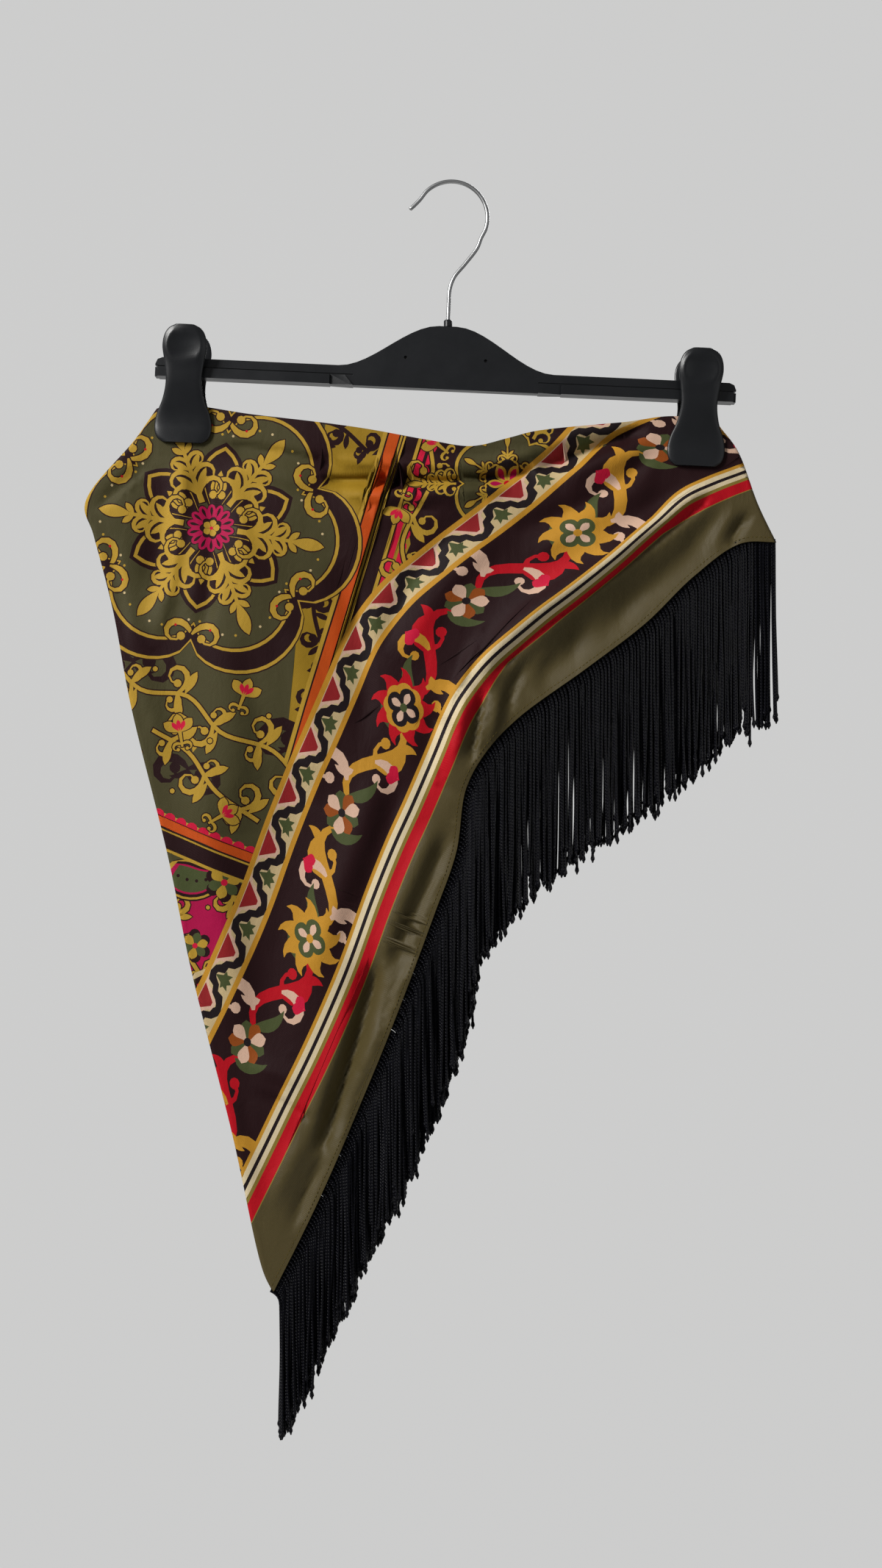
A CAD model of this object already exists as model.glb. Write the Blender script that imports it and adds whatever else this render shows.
"""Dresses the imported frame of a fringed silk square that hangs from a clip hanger.

The cloth is one closed skin on the form of its solid, with the main creases laid by hand. Its print is drawn from
formulas as flat shapes, which are cut into the skin, so every colour has a true edge. The fringe and the stitches
are grown by Geometry Nodes. Lengths in the tables are millimetres; meshes are made in metres.
"""
from __future__ import annotations

import logging
import math
from collections.abc import Callable, Iterable, Sequence
from dataclasses import dataclass, field
from enum import Enum

import bmesh
import bpy
import numpy as np
from mathutils import Matrix, Vector
from mathutils.geometry import delaunay_2d_cdt

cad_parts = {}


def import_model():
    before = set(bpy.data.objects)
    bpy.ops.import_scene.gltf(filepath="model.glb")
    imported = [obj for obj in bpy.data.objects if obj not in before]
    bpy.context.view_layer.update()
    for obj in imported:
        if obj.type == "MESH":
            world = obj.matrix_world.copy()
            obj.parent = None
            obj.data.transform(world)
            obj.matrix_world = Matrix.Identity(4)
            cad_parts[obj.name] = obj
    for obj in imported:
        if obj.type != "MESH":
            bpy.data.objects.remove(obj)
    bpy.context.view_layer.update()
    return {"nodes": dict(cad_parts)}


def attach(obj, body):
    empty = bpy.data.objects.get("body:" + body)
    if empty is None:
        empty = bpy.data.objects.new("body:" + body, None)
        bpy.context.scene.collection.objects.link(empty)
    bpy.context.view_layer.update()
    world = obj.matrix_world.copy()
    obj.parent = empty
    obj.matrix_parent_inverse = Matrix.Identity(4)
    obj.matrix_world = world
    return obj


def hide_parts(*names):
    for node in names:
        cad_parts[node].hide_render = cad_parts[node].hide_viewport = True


LOG = logging.getLogger("scarf")
MM = 0.001
DYE = 0.74  # share of an ink's light that the dyed cloth gives back
FOLD_REACH = 2.8  # how far a fold is felt, in its half widths
Rows = Sequence[tuple[float, float]]
Shape = np.ndarray


# ------------------------------------------------------------------ outline and folds, as the solids have them
TOP_EDGE: Rows = (
    (-214, -163), (-191, -161), (-145, -167.7), (-66, -178), (-17, -186.7), (14, -191), (40, -185.4),
    (60, -180.3), (121, -173.8), (162, -169), (194, -176),
)
RIGHT_EDGE: Rows = ((194, -176), (207, -193.5), (222, -233), (235, -260))
LEFT_EDGE: Rows = (
    (-214, -163), (-229, -184.5), (-266, -232), (-260, -254), (-246, -308), (-233, -377), (-206, -487),
    (-189, -570), (-159, -690), (-137, -788), (-129.7, -803.5),
)
HEM: Rows = (
    (-129.7, -803.5), (-94, -730.5), (-48, -621.7), (-13, -529.5), (3, -484), (10, -438.4), (24, -412.6),
    (47, -388), (99, -350), (140, -318.6), (175, -284.6), (208, -261.4), (235, -260),
)
FLAP_EDGE: Rows = ((166, -208), (207, -208), (219, -236), (227, -257), (208, -260), (175, -283.4),
                   (140, -317.2),
                   (99, -348.6), (52, -382), (45, -381))


class Face(Enum):
    """Which wall of the cloth a fold moves."""

    FRONT = "front"
    BACK = "back"
    BOTH = "both"


class Ink(Enum):
    """A colour of the print as red, green and blue of 255, and how satiny its cloth is."""

    OLIVE = (74, 69, 42, 0.0)
    MOSS = (74, 82, 46, 0.0)
    PLUM = (37, 11, 14, 0.0)
    GOLD = (186, 148, 50, 0.0)
    YELLOW = (160, 126, 32, 0.0)
    AMBER = (200, 144, 44, 0.0)
    MAGENTA = (176, 10, 72, 0.0)
    ROSE = (208, 20, 60, 0.0)
    RED = (190, 8, 28, 0.0)
    BRICK = (150, 35, 38, 0.0)
    BLUSH = (220, 182, 158, 0.0)
    CREAM = (206, 182, 136, 0.0)
    WHITE = (226, 208, 170, 0.0)
    BLACK = (30, 20, 23, 0.0)
    KHAKI = (140, 120, 52, 0.0)
    ORANGE = (200, 80, 20, 0.0)
    RUST = (150, 75, 22, 0.0)
    SATEEN = (82, 71, 38, 1.0)

    def linear(self) -> tuple[float, float, float, float]:
        """The ink as linear light, with its satin share in place of alpha."""
        red, green, blue, satin = self.value
        return (*(DYE * to_linear(channel / 255) for channel in (red, green, blue)), satin)


def to_linear(channel: float) -> float:
    """One display channel, from 0 to 1, as linear light."""
    return channel / 12.92 if channel <= 0.04045 else ((channel + 0.055) / 1.055) ** 2.4


def toward(degrees: float) -> complex:
    """The unit step at an angle in degrees, counted from +x."""
    return np.exp(1j * math.radians(degrees))


def smooth(t: np.ndarray) -> np.ndarray:
    """A soft step from 0 to 1."""
    c = np.clip(t, 0.0, 1.0)
    return c * c * (3 - 2 * c)


def cross(a: Shape, b: Shape) -> np.ndarray:
    """The turn from a to b: positive where b points to the left of a."""
    return (np.conj(a) * b).imag


# ------------------------------------------------------------------ lines and shapes, as complex x + z i
def lengths_along(line: Shape) -> np.ndarray:
    """Length from the start of a line to each of its points."""
    return np.concatenate([[0.0], np.cumsum(np.abs(np.diff(line)))])


def at_length(line: Shape, where: np.ndarray) -> Shape:
    """Points of a line at given lengths, running straight on past both of its ends.

    Args:
        line: the line's points.
        where: lengths from its start, which may be under 0 or past its end.

    Returns:
        One point for each length.
    """
    lengths = lengths_along(line)
    inside = np.interp(where, lengths, line.real) + 1j * np.interp(where, lengths, line.imag)
    first = (line[1] - line[0]) / abs(line[1] - line[0])
    last = (line[-1] - line[-2]) / abs(line[-1] - line[-2])
    return inside + first * np.minimum(where, 0) + last * np.maximum(where - lengths[-1], 0)


def resample(line: Shape, step: float) -> Shape:
    """The line again with its points about one step apart."""
    total = lengths_along(line)[-1]
    return at_length(line, np.linspace(0, total, max(2, round(total / step) + 1)))


def smooth_run(rows: Rows, step: float) -> Shape:
    """A smooth curve through a table's rows.

    Args:
        rows: x and z of each point on the way.
        step: spacing of the points that are returned.

    Returns:
        The curve's points.
    """
    p = np.array([complex(x, z) for x, z in rows])
    held = np.concatenate([[2 * p[0] - p[1]], p, [2 * p[-1] - p[-2]]])
    t = np.linspace(0, 1, 24, endpoint=False)
    pieces = []
    for a, b, c, d in zip(held[:-3], held[1:-2], held[2:-1], held[3:]):
        ab, bc, cd = abs(b - a) ** 0.5, abs(c - b) ** 0.5, abs(d - c) ** 0.5
        leave = ((b - a) / ab - (c - a) / (ab + bc) + (c - b) / bc) * bc
        arrive = ((c - b) / bc - (d - b) / (bc + cd) + (d - c) / cd) * bc
        pieces.append((2 * t**3 - 3 * t**2 + 1) * b + (t**3 - 2 * t**2 + t) * leave
                      + (3 * t**2 - 2 * t**3) * c + (t**3 - t**2) * arrive)
    return resample(np.concatenate([*pieces, p[-1:]]), step)


@dataclass
class Nearest:
    """Where points lie against a line: how far off, how far along, on which side, and the nearest place on it."""

    distance: np.ndarray
    along: np.ndarray
    side: np.ndarray
    foot: Shape


def nearest_on(line: Shape, points: Shape) -> Nearest:
    """Measures points against a line.

    Args:
        line: the line's points.
        points: the places to measure.

    Returns:
        The measures; side is 1 to the left of the line and -1 to its right.
    """
    found = Nearest(np.full(len(points), np.inf), np.zeros(len(points)), np.ones(len(points)), points.copy())
    for a, b, start in zip(line[:-1], line[1:], lengths_along(line)[:-1]):
        step = b - a
        share = np.clip(((points - a) * np.conj(step)).real / abs(step) ** 2, 0, 1)
        foot = a + share * step
        distance = np.abs(points - foot)
        closer = distance < found.distance
        found.distance[closer] = distance[closer]
        found.along[closer] = start + share[closer] * abs(step)
        found.side[closer] = np.where(cross(step, points[closer] - a) >= 0, 1.0, -1.0)
        found.foot[closer] = foot[closer]
    return found


def inside(shape: Shape, points: Shape) -> np.ndarray:
    """Which points lie inside a closed shape."""
    hit = np.zeros(len(points), bool)
    x, z = points.real, points.imag
    for a, b in zip(shape, np.roll(shape, -1)):
        if a.imag == b.imag:
            continue
        spans = (a.imag > z) != (b.imag > z)
        edge_x = a.real + (z - a.imag) * (b.real - a.real) / (b.imag - a.imag)
        hit ^= spans & (x < edge_x)
    return hit


# ------------------------------------------------------------------ the cloth's form
@dataclass(frozen=True)
class Fold:
    """A soft ridge, with rise over 0, or trough. steep under 1 makes its left side steeper than its right."""

    face: Face
    path: Rows
    half: float
    rise: float
    steep: float = 1.0

    def height(self, at: Shape) -> np.ndarray:
        """Its height at each place."""
        bent = len(self.path) > 2
        line = smooth_run(self.path, 8.0) if bent else np.array([complex(x, z) for x, z in self.path])
        reach = FOLD_REACH * self.half * max(1.0, self.steep)
        close = (at.real > line.real.min() - reach) & (at.real < line.real.max() + reach)
        close &= (at.imag > line.imag.min() - reach) & (at.imag < line.imag.max() + reach)
        near = nearest_on(line, at[close])
        half = np.where(near.side > 0, self.half * self.steep, self.half)
        length = lengths_along(line)[-1]
        tail = 2 * self.half * (2.0 if bent else 1.0)
        ends = smooth((np.minimum(near.along, length - near.along) + self.half) / tail)
        height = np.zeros(len(at))
        height[close] = self.rise * ends * np.exp(-((near.distance / half) ** 2))
        return height


LARGE_FOLDS: tuple[Fold, ...] = (
    Fold(Face.BOTH, ((-205, -205), (-212, -300)), 18, -5),
    Fold(Face.BOTH, ((-150, -250), (-160, -470)), 34, 5),
    Fold(Face.FRONT, ((-95, -212), (45, -210)), 16, -3),
    Fold(Face.FRONT, ((-60, -235), (20, -225)), 16, 4),
    Fold(Face.BOTH, ((60, -206), (150, -178)), 14, -5),
    Fold(Face.FRONT, ((185, -212), (105, -279), (25, -346)), 18, 7),
    Fold(Face.FRONT, ((205, -240), (55, -362)), 14, -4),
    Fold(Face.BOTH, ((20, -370), (5, -440)), 18, 6),
    Fold(Face.FRONT, ((-55, -565), (-80, -690)), 16, -4),
    Fold(Face.FRONT, ((-30, -560), (-60, -645)), 15, 5),
    Fold(Face.BOTH, ((-110, -420), (-150, -640)), 30, -5),
    Fold(Face.BACK, ((-120, -230), (-60, -470)), 26, 5),
    Fold(Face.BACK, ((120, -205), (10, -350)), 22, -3),
    Fold(Face.BACK, ((-150, -480), (-125, -700)), 20, 4),
)
Crease = tuple[Rows, float, float] | tuple[Rows, float, float, float]
# each row: the path as x and z, half width, rise and, where its sides differ, how steep the left one is
FRONT_CREASES: tuple[Crease, ...] = (
    # drag creases from the clips and along the sagging top edge
    (((-208, -190), (-224, -208), (-246, -226), (-262, -236)), 8, -4.6, 0.6),
    (((-222, -190), (-238, -208), (-256, -226)), 8, 3.4),
    (((-196, -196), (-196, -232), (-204, -290), (-214, -330)), 9, 4.4, 0.7),
    (((-182, -198), (-174, -236), (-174, -290), (-180, -330)), 8, -4.4, 0.7),
    (((-166, -204), (-154, -240), (-150, -290)), 9, 2.8),
    (((-170, -190), (-140, -193), (-104, -200), (-66, -206)), 6, -3.0, 0.6),
    (((-166, -204), (-130, -212), (-92, -220)), 7, 2.4),
    (((-94, -214), (-40, -214.5), (12, -215), (60, -207)), 4.6, -6.4, 0.5),
    (((-90, -203), (-30, -204), (16, -205), (66, -196)), 5.0, 4.4),
    (((-80, -226), (-20, -226), (44, -221)), 6.0, 4.2),
    (((-76, -230), (-46, -236), (-8, -237)), 4.6, -2.6, 0.7),
    (((66, -205), (104, -190), (142, -176)), 6, -5.2, 0.5),
    (((60, -194), (98, -181), (130, -176)), 5, 3.0),
    (((74, -216), (112, -202), (150, -190)), 8, 3.6),
    (((150, -194), (118, -218), (84, -238), (44, -252)), 8, -3.0, 0.8),
    (((158, -204), (130, -226), (92, -250), (50, -272)), 9, 2.8),
    (((184, -200), (204, -208), (220, -228)), 6, -3.4, 0.7),
    # the ridge that carries the stripes on the upper run, and the tuck below it
    (((190, -216), (150, -243), (100, -283), (50, -318), (24, -346), (12, -366)), 7.5, 6.4, 1.4),
    (((188, -226), (150, -257), (104, -293), (58, -328), (32, -354)), 4.8, -4.8, 0.7),
    (((166, -222), (128, -256), (84, -290)), 10, -2.6),
    # the pleat at the bend
    (((24, -366), (18, -392), (13, -420)), 5, -6.6, 0.5),
    (((10, -366), (4, -394), (-3, -428)), 8, 5.8, 0.7),
    (((33, -366), (31, -388), (26, -406)), 5, 3.6),
    (((-10, -372), (-14, -398), (-22, -430)), 8, -3.0, 0.8),
    # puckers in the olive band of the upper run
    (((218, -238), (208, -250), (200, -264)), 4.6, -4.4, 0.6),
    (((207, -233), (195, -250), (187, -268)), 5.5, 2.6),
    (((200, -236), (178, -256), (166, -272)), 7, -1.8),
    (((176, -254), (150, -274), (128, -300)), 8, 1.6),
    (((148, -286), (128, -304), (116, -322)), 7, -1.6),
    (((118, -304), (106, -320), (100, -338)), 7, 1.5),
    (((98, -316), (88, -332), (86, -350)), 6, -1.8),
    (((74, -334), (62, -350), (58, -370)), 6, 2.0),
    (((54, -348), (44, -366), (41, -384)), 4.5, -3.6, 0.7),
    # long folds down the lower olive band and across the stripes
    (((-2, -470), (-14, -500), (-34, -546), (-46, -580)), 7, -4.2, 0.6),
    (((-12, -462), (-26, -496), (-44, -540), (-58, -584)), 8, 3.8),
    (((-52, -560), (-66, -612), (-82, -660), (-96, -706)), 6.5, -6.4, 0.5),
    (((-38, -560), (-54, -610), (-72, -662), (-84, -712)), 6, 4.2),
    (((-70, -590), (-86, -638), (-104, -690)), 8, 3.8),
    (((-28, -551), (-44, -586), (-52, -612)), 5, -3.8, 0.6),
    (((-92, -704), (-104, -728), (-116, -756)), 6, -4.0, 0.6),
    (((-104, -684), (-118, -712), (-132, -742)), 8, 3.8),
    (((-140, -658), (-122, -666), (-100, -678)), 5, -3.0, 0.7),
    (((-146, -636), (-126, -644), (-102, -652)), 7, 2.4),
    (((-28, -378), (-12, -390), (6, -402)), 5, -2.8),
    (((-36, -430), (-48, -470), (-66, -520), (-80, -560)), 9, -3.0, 0.8),
    (((-52, -420), (-66, -468), (-86, -524), (-104, -580)), 11, 3.0),
    # slow shades down the field
    (((-248, -258), (-244, -296), (-238, -336)), 8, -3.8, 0.7),
    (((-236, -300), (-226, -356), (-208, -420)), 11, 3.2),
    (((-200, -520), (-190, -556), (-178, -600)), 8, -3.4),
    (((-186, -430), (-166, -520), (-150, -620)), 13, 3.6),
    (((-172, -640), (-156, -690), (-142, -736)), 8, 3.0),
    (((-120, -300), (-104, -380), (-100, -450)), 15, 3.6),
    (((-84, -270), (-66, -340), (-64, -410)), 12, -3.8, 0.8),
    (((-150, -330), (-140, -400), (-146, -480)), 12, -3.2),
    (((40, -248), (-4, -290), (-38, -348)), 10, 3.2),
    (((2, -250), (-30, -290), (-52, -340)), 8, -2.8, 0.8),
)
# the hidden side has its own, of the same kinds
BACK_CREASES: tuple[Crease, ...] = (
    (((-190, -198), (-176, -250), (-168, -310)), 8, 3.6, 0.7),
    (((-208, -192), (-226, -212), (-252, -236)), 8, -4.2, 0.6),
    (((-222, -240), (-230, -290), (-226, -350)), 9, 3.2),
    (((-130, -206), (-60, -216), (10, -212)), 5, -3.8, 0.6),
    (((-110, -220), (-50, -230), (16, -226)), 7, 3.4),
    (((150, -196), (90, -232), (20, -292)), 8, 4.2, 0.7),
    (((130, -188), (70, -214), (0, -258)), 8, -3.2),
    (((20, -330), (-6, -390), (-14, -450)), 7, -4.8, 0.6),
    (((2, -330), (-24, -390), (-36, -460)), 9, 3.8),
    (((-20, -480), (-50, -560), (-84, -640)), 7, 4.0),
    (((-6, -490), (-34, -566), (-66, -640)), 6, -3.6, 0.7),
    (((-150, -350), (-140, -450), (-138, -560)), 11, -3.6),
    (((-120, -340), (-108, -440), (-112, -540)), 12, 3.4),
    (((-70, -640), (-96, -700), (-116, -750)), 5, -3.8, 0.6),
    (((-90, -640), (-112, -690), (-130, -740)), 8, 3.2),
    (((-206, -420), (-188, -520), (-166, -620)), 10, 3.4),
)
CREASES: tuple[Fold, ...] = (*(Fold(Face.FRONT, *row) for row in FRONT_CREASES),
                             *(Fold(Face.BACK, *row) for row in BACK_CREASES))


@dataclass
class ClothForm:
    """The folded square's form: two walls, joined at the left fold and at the right turn."""

    wall: float = 1.5
    core: float = 0.3
    fold_radius: float = 2.3
    belly: float = 3.2
    fullness: float = 1.45
    belly_reach: float = 75.0
    crease_reach: float = 26.0
    edge_reach: float = 28.0
    tilt: float = math.radians(2.62)
    hump: complex = -2.9 - 104.5j
    clip_places: tuple[complex, ...] = (-188 - 84j, 183 - 84j)
    jaw_half: complex = 24 + 14j
    jaw_clear: float = 4.0
    pinch: float = 0.35
    pinch_reach: float = 12.0
    ply: float = 0.9
    guard: float = 3.2
    probe: float = 0.6
    centre: complex = -60 - 380j
    runs: dict[str, Shape] = field(default_factory=dict)

    def __post_init__(self) -> None:
        """Draws the four runs of the outline."""
        rows = {"top": TOP_EDGE, "right": RIGHT_EDGE, "hem": HEM, "left": LEFT_EDGE}
        self.runs = {name: smooth_run(table, 2.4) for name, table in rows.items()}

    def from_bar(self, place: complex) -> complex:
        """A place on the tilted bar, as x and z of the part."""
        return self.hump + place * np.exp(-1j * self.tilt)

    def outline(self) -> Shape:
        """The closed outline, from the top left corner down the left fold and on round."""
        runs = self.runs
        return np.concatenate([runs["left"][:-1], runs["hem"][:-1], runs["right"][::-1][:-1],
                               runs["top"][::-1][:-1]])

    def from_jaws(self, at: Shape) -> np.ndarray:
        """How far each place is from the nearest jaw."""
        gaps = []
        for place in self.clip_places:
            off = at - self.from_bar(place)
            across = np.maximum(0, np.abs(off.real) - self.jaw_half.real)
            down = np.maximum(0, np.abs(off.imag) - self.jaw_half.imag)
            gaps.append(np.hypot(across, down))
        return np.minimum(*gaps)

    def edge(self, at: Shape) -> Nearest:
        """The nearer of the two folded edges to each place."""
        left, right = (nearest_on(self.runs[name], at) for name in ("left", "right"))
        nearer = right.distance < left.distance
        return Nearest(*(np.where(nearer, getattr(right, key), getattr(left, key))
                         for key in ("distance", "along", "side", "foot")))

    def depths(self, at: Shape, edge_distance: np.ndarray) -> dict[Face, np.ndarray]:
        """Where the outer skins of both walls lie away from the edges, and the middle between them, in y.

        Args:
            at: places on the flat outline.
            edge_distance: how far each is from a folded edge.

        Returns:
            y of the front skin, of the back skin and, under BOTH, of the middle.
        """
        jaws = self.from_jaws(at)
        slack = smooth(jaws / self.belly_reach)
        opened = smooth(edge_distance / self.edge_reach)
        free = smooth((jaws + self.jaw_clear) / self.crease_reach)
        loose = free * smooth(edge_distance / (self.edge_reach / 2))
        raised = {face: np.zeros(len(at)) for face in Face}
        for fold in LARGE_FOLDS:
            raised[fold.face] += self.fullness * fold.height(at) * slack * opened
        for fold in CREASES:
            raised[fold.face] += fold.height(at) * loose
        least = self.core + self.wall / 2
        closed = least + (self.fold_radius - self.wall / 2 - least) * slack
        middle = -raised[Face.BOTH]
        wanted, pushed = {}, {}
        for face in (Face.FRONT, Face.BACK):
            wanted[face] = closed + self.belly * slack * opened + raised[face] - least
            pushed[face] = (np.sqrt(wanted[face] ** 2 + 1.0) - wanted[face]) / 2
        snug = least + self.wall / 2 - self.pinch * (1 - smooth(jaws / self.pinch_reach))
        front = snug + wanted[Face.FRONT] + pushed[Face.BACK]
        back = snug + wanted[Face.BACK] + pushed[Face.FRONT]
        return {Face.FRONT: middle - front, Face.BACK: middle + back, Face.BOTH: middle}

    def skin(self, at: Shape, face: Face, under: float = 0.0) -> tuple[np.ndarray, np.ndarray]:
        """A skin of one wall.

        Args:
            at: places on the flat outline.
            face: FRONT or BACK.
            under: 0 for the outer skin, or how far an inner one lies below every fold of the outer one.

        Returns:
            Its points, in millimetres, and its outward normals.
        """
        edge = self.edge(at)
        depths = self.depths(at, edge.distance)
        sign = -1.0 if face is Face.FRONT else 1.0
        if under:
            ways = [self.guard * np.exp(1j * np.pi * k / 3) for k in range(6)]
            rings = [self.depths(at + way, edge.distance)[face] for way in ways]
            half = np.min([sign * (y - depths[Face.BOTH]) for y in (*rings, depths[face])], axis=0)
            depths[face] = depths[Face.BOTH] + sign * half
        probe = self.probe
        east, west = (self.depths(at + step, edge.distance)[face] for step in (probe, -probe))
        north, south = (self.depths(at + 1j * step, edge.distance)[face] for step in (probe, -probe))
        slope_x, slope_z = (east - west) / (2 * probe), (north - south) / (2 * probe)
        half = sign * (depths[face] - depths[Face.BOTH])
        turn = np.clip(1 - edge.distance / np.maximum(half, 0.5), 0, 1)
        rest = np.sqrt(1 - turn**2)
        y = depths[Face.BOTH] + sign * half * rest
        away = edge.foot - at
        far = np.abs(away)
        away = np.where(far > 1e-3, away / np.maximum(far, 1e-9), self.outward(edge, at))
        normal = np.stack([-sign * slope_x, np.full(len(at), sign), -sign * slope_z], axis=1)
        normal /= np.linalg.norm(normal, axis=1, keepdims=True)
        sideways = np.stack([away.real, np.zeros(len(at)), away.imag], axis=1)
        normal = normal * rest[:, None] + sideways * turn[:, None]
        normal /= np.linalg.norm(normal, axis=1, keepdims=True)
        return np.stack([at.real, y, at.imag], axis=1) - normal * under, normal

    def outward(self, edge: Nearest, at: Shape) -> Shape:
        """The way out of the cloth at places that lie on a folded edge."""
        ways = []
        for name in ("left", "right"):
            run = self.runs[name]
            index = np.round(edge.along / lengths_along(run)[-1] * (len(run) - 1)).astype(int)
            index = np.clip(index, 1, len(run) - 2)
            way = (run[index + 1] - run[index - 1]) * 1j
            way = way / np.abs(way)
            ways.append(np.where((way * np.conj(run[index] - self.centre)).real > 0, way, -way))
        return np.where(at.real < 0, ways[0], ways[1])


# ------------------------------------------------------------------ the print
Motif = list[tuple[Ink, Shape]]


def ring(radius: float, count: int, at: complex = 0) -> Shape:
    """A circle."""
    return at + radius * np.exp(2j * np.pi * np.arange(count) / count)


def lobes(number: int, radius: float, depth: float, count: int, sharp: float = 1.0) -> Shape:
    """A scalloped round whose edge dips between its lobes.

    Args:
        number: how many lobes.
        radius: reach of each lobe.
        depth: how far the edge dips between two lobes, as a share of the radius.
        count: points in all.
        sharp: under 1 makes round lobes with narrow dips.

    Returns:
        The closed shape.
    """
    angle = 2 * np.pi * np.arange(count) / count
    reach = np.abs(np.sin(number * angle / 2)) ** sharp
    return radius * (1 - depth + depth * reach) * np.exp(1j * angle)


def petal(length: float, width: float, blunt: float = 0.8, count: int = 9) -> Shape:
    """A petal or leaf from the origin along +x, widest past its middle where blunt is under 1."""
    t = np.linspace(0, 1, count)
    bulge = width / 2 * np.sin(np.pi * t ** (1 / blunt)) ** 0.8
    upper = length * t + 1j * bulge
    return np.concatenate([upper[:-1], np.conj(upper[::-1][:-1])])


def ribbon(path: Shape, widths: np.ndarray, grow: float = 0.0) -> Shape:
    """A closed stroke along a path.

    Args:
        path: its centre line.
        widths: half width at each point.
        grow: added to every half width, for an outline.

    Returns:
        The closed shape.
    """
    way = np.gradient(path)
    way /= np.abs(way)
    if grow:
        path = path.copy()
        path[0] -= way[0] * grow
        path[-1] += way[-1] * grow
    half = widths + grow
    return np.concatenate([path + 1j * way * half, (path - 1j * way * half)[::-1]])


def path_along(heading: np.ndarray, length: float) -> Shape:
    """A path from the origin with a heading in radians at each of its evenly spaced points."""
    steps = np.exp(1j * (heading[1:] + heading[:-1]) / 2) * length / (len(heading) - 1)
    return np.concatenate([[0], np.cumsum(steps)])


def curl(length: float, turns: float, thick: float, grow: float = 0.0, lead: float = 1.7,
         bud: float = 1.15) -> list[Shape]:
    """A scroll that leaves the origin along +x and winds to the left into a round bud.

    Args:
        length: length of its centre line.
        turns: how often it turns in all.
        thick: its largest half width.
        grow: added all round, for an outline.
        lead: over 1 keeps its start straighter.
        bud: radius of the bud as a share of thick.

    Returns:
        The closed shapes of the stem and the bud.
    """
    t = np.linspace(0, 1, 11)
    path = path_along(2 * np.pi * turns * t**lead, length)
    widths = thick * (0.3 + 0.7 * np.sin(np.pi * np.minimum(1, t * 1.2) ** 0.8))
    widths[-1] = thick * 0.5
    return [ribbon(path, widths, grow), ring(thick * bud + grow, 9, path[-1])]


def crescent(length: float, turn: float, thick: float) -> Shape:
    """A bent leaf that leaves the origin along +x, turns left by degrees in all and is pointed at both ends."""
    t = np.linspace(0, 1, 9)
    return ribbon(path_along(math.radians(turn) * t, length), thick * (0.04 + np.sin(np.pi * t**0.8)))


def moved(shapes: Iterable[Shape], at: complex = 0, turn: float = 0.0, size: float = 1.0,
          flip: bool = False) -> list[Shape]:
    """Shapes turned by degrees, sized and placed; flip mirrors them over their own x first."""
    factor = size * toward(turn)
    return [at + factor * (np.conj(shape) if flip else shape) for shape in shapes]


def placed(motif: Motif, at: complex = 0, turn: float = 0.0, size: float = 1.0, flip: bool = False) -> Motif:
    """A motif turned by degrees, sized and placed."""
    return [(ink, moved([shape], at, turn, size, flip)[0]) for ink, shape in motif]


def outlined(draw: Callable[[float], list[Shape]], fill: Ink, edge: Ink = Ink.PLUM,
             grow: float = 0.9) -> Motif:
    """Shapes in one ink with a thin line of another all round."""
    return [(edge, shape) for shape in draw(grow)] + [(fill, shape) for shape in draw(0.0)]


def spray(size: float = 1.0, pairs: int = 3) -> Callable[[float], list[Shape]]:
    """A pointed leaf on a stem with mirrored pairs of scrolls and leaves below it.

    Args:
        size: scale of the whole spray, whose reach is then about 44.
        pairs: one to three pairs of scrolls.

    Returns:
        A function of the outline's growth that gives the shapes.
    """
    # each pair: where it leaves the stem, its length, its angle and its half width
    table = ((3, 28, 14, 1.35), (12, 25, 18, 1.25), (21, 18, 18, 1.1))

    def draw(grow: float) -> list[Shape]:
        """The spray's shapes, grown all round."""
        shapes = [ribbon(size * np.linspace(0, 30, 5) + 0j, size * np.array([1.5, 1.3, 1.1, 1.0, 0.8]), grow)]
        shapes += moved([petal(18 * size + 2 * grow, 6.4 * size + 2 * grow)], at=size * 27 - grow)
        for flip in (False, True):
            turn = -1 if flip else 1
            for start, length, angle, thick in table[:pairs]:
                stem = curl(length * size, 0.8, thick * size, grow, 1.5, 1.6)
                shapes += moved(stem, at=size * start, turn=angle * turn, flip=flip)
                leaf = petal(0.42 * length * size + 2 * grow, 3.2 * size + 2 * grow, count=7) - grow
                shapes += moved([leaf], at=size * (start + 5), turn=44 * turn)
        return shapes
    return draw


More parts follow.
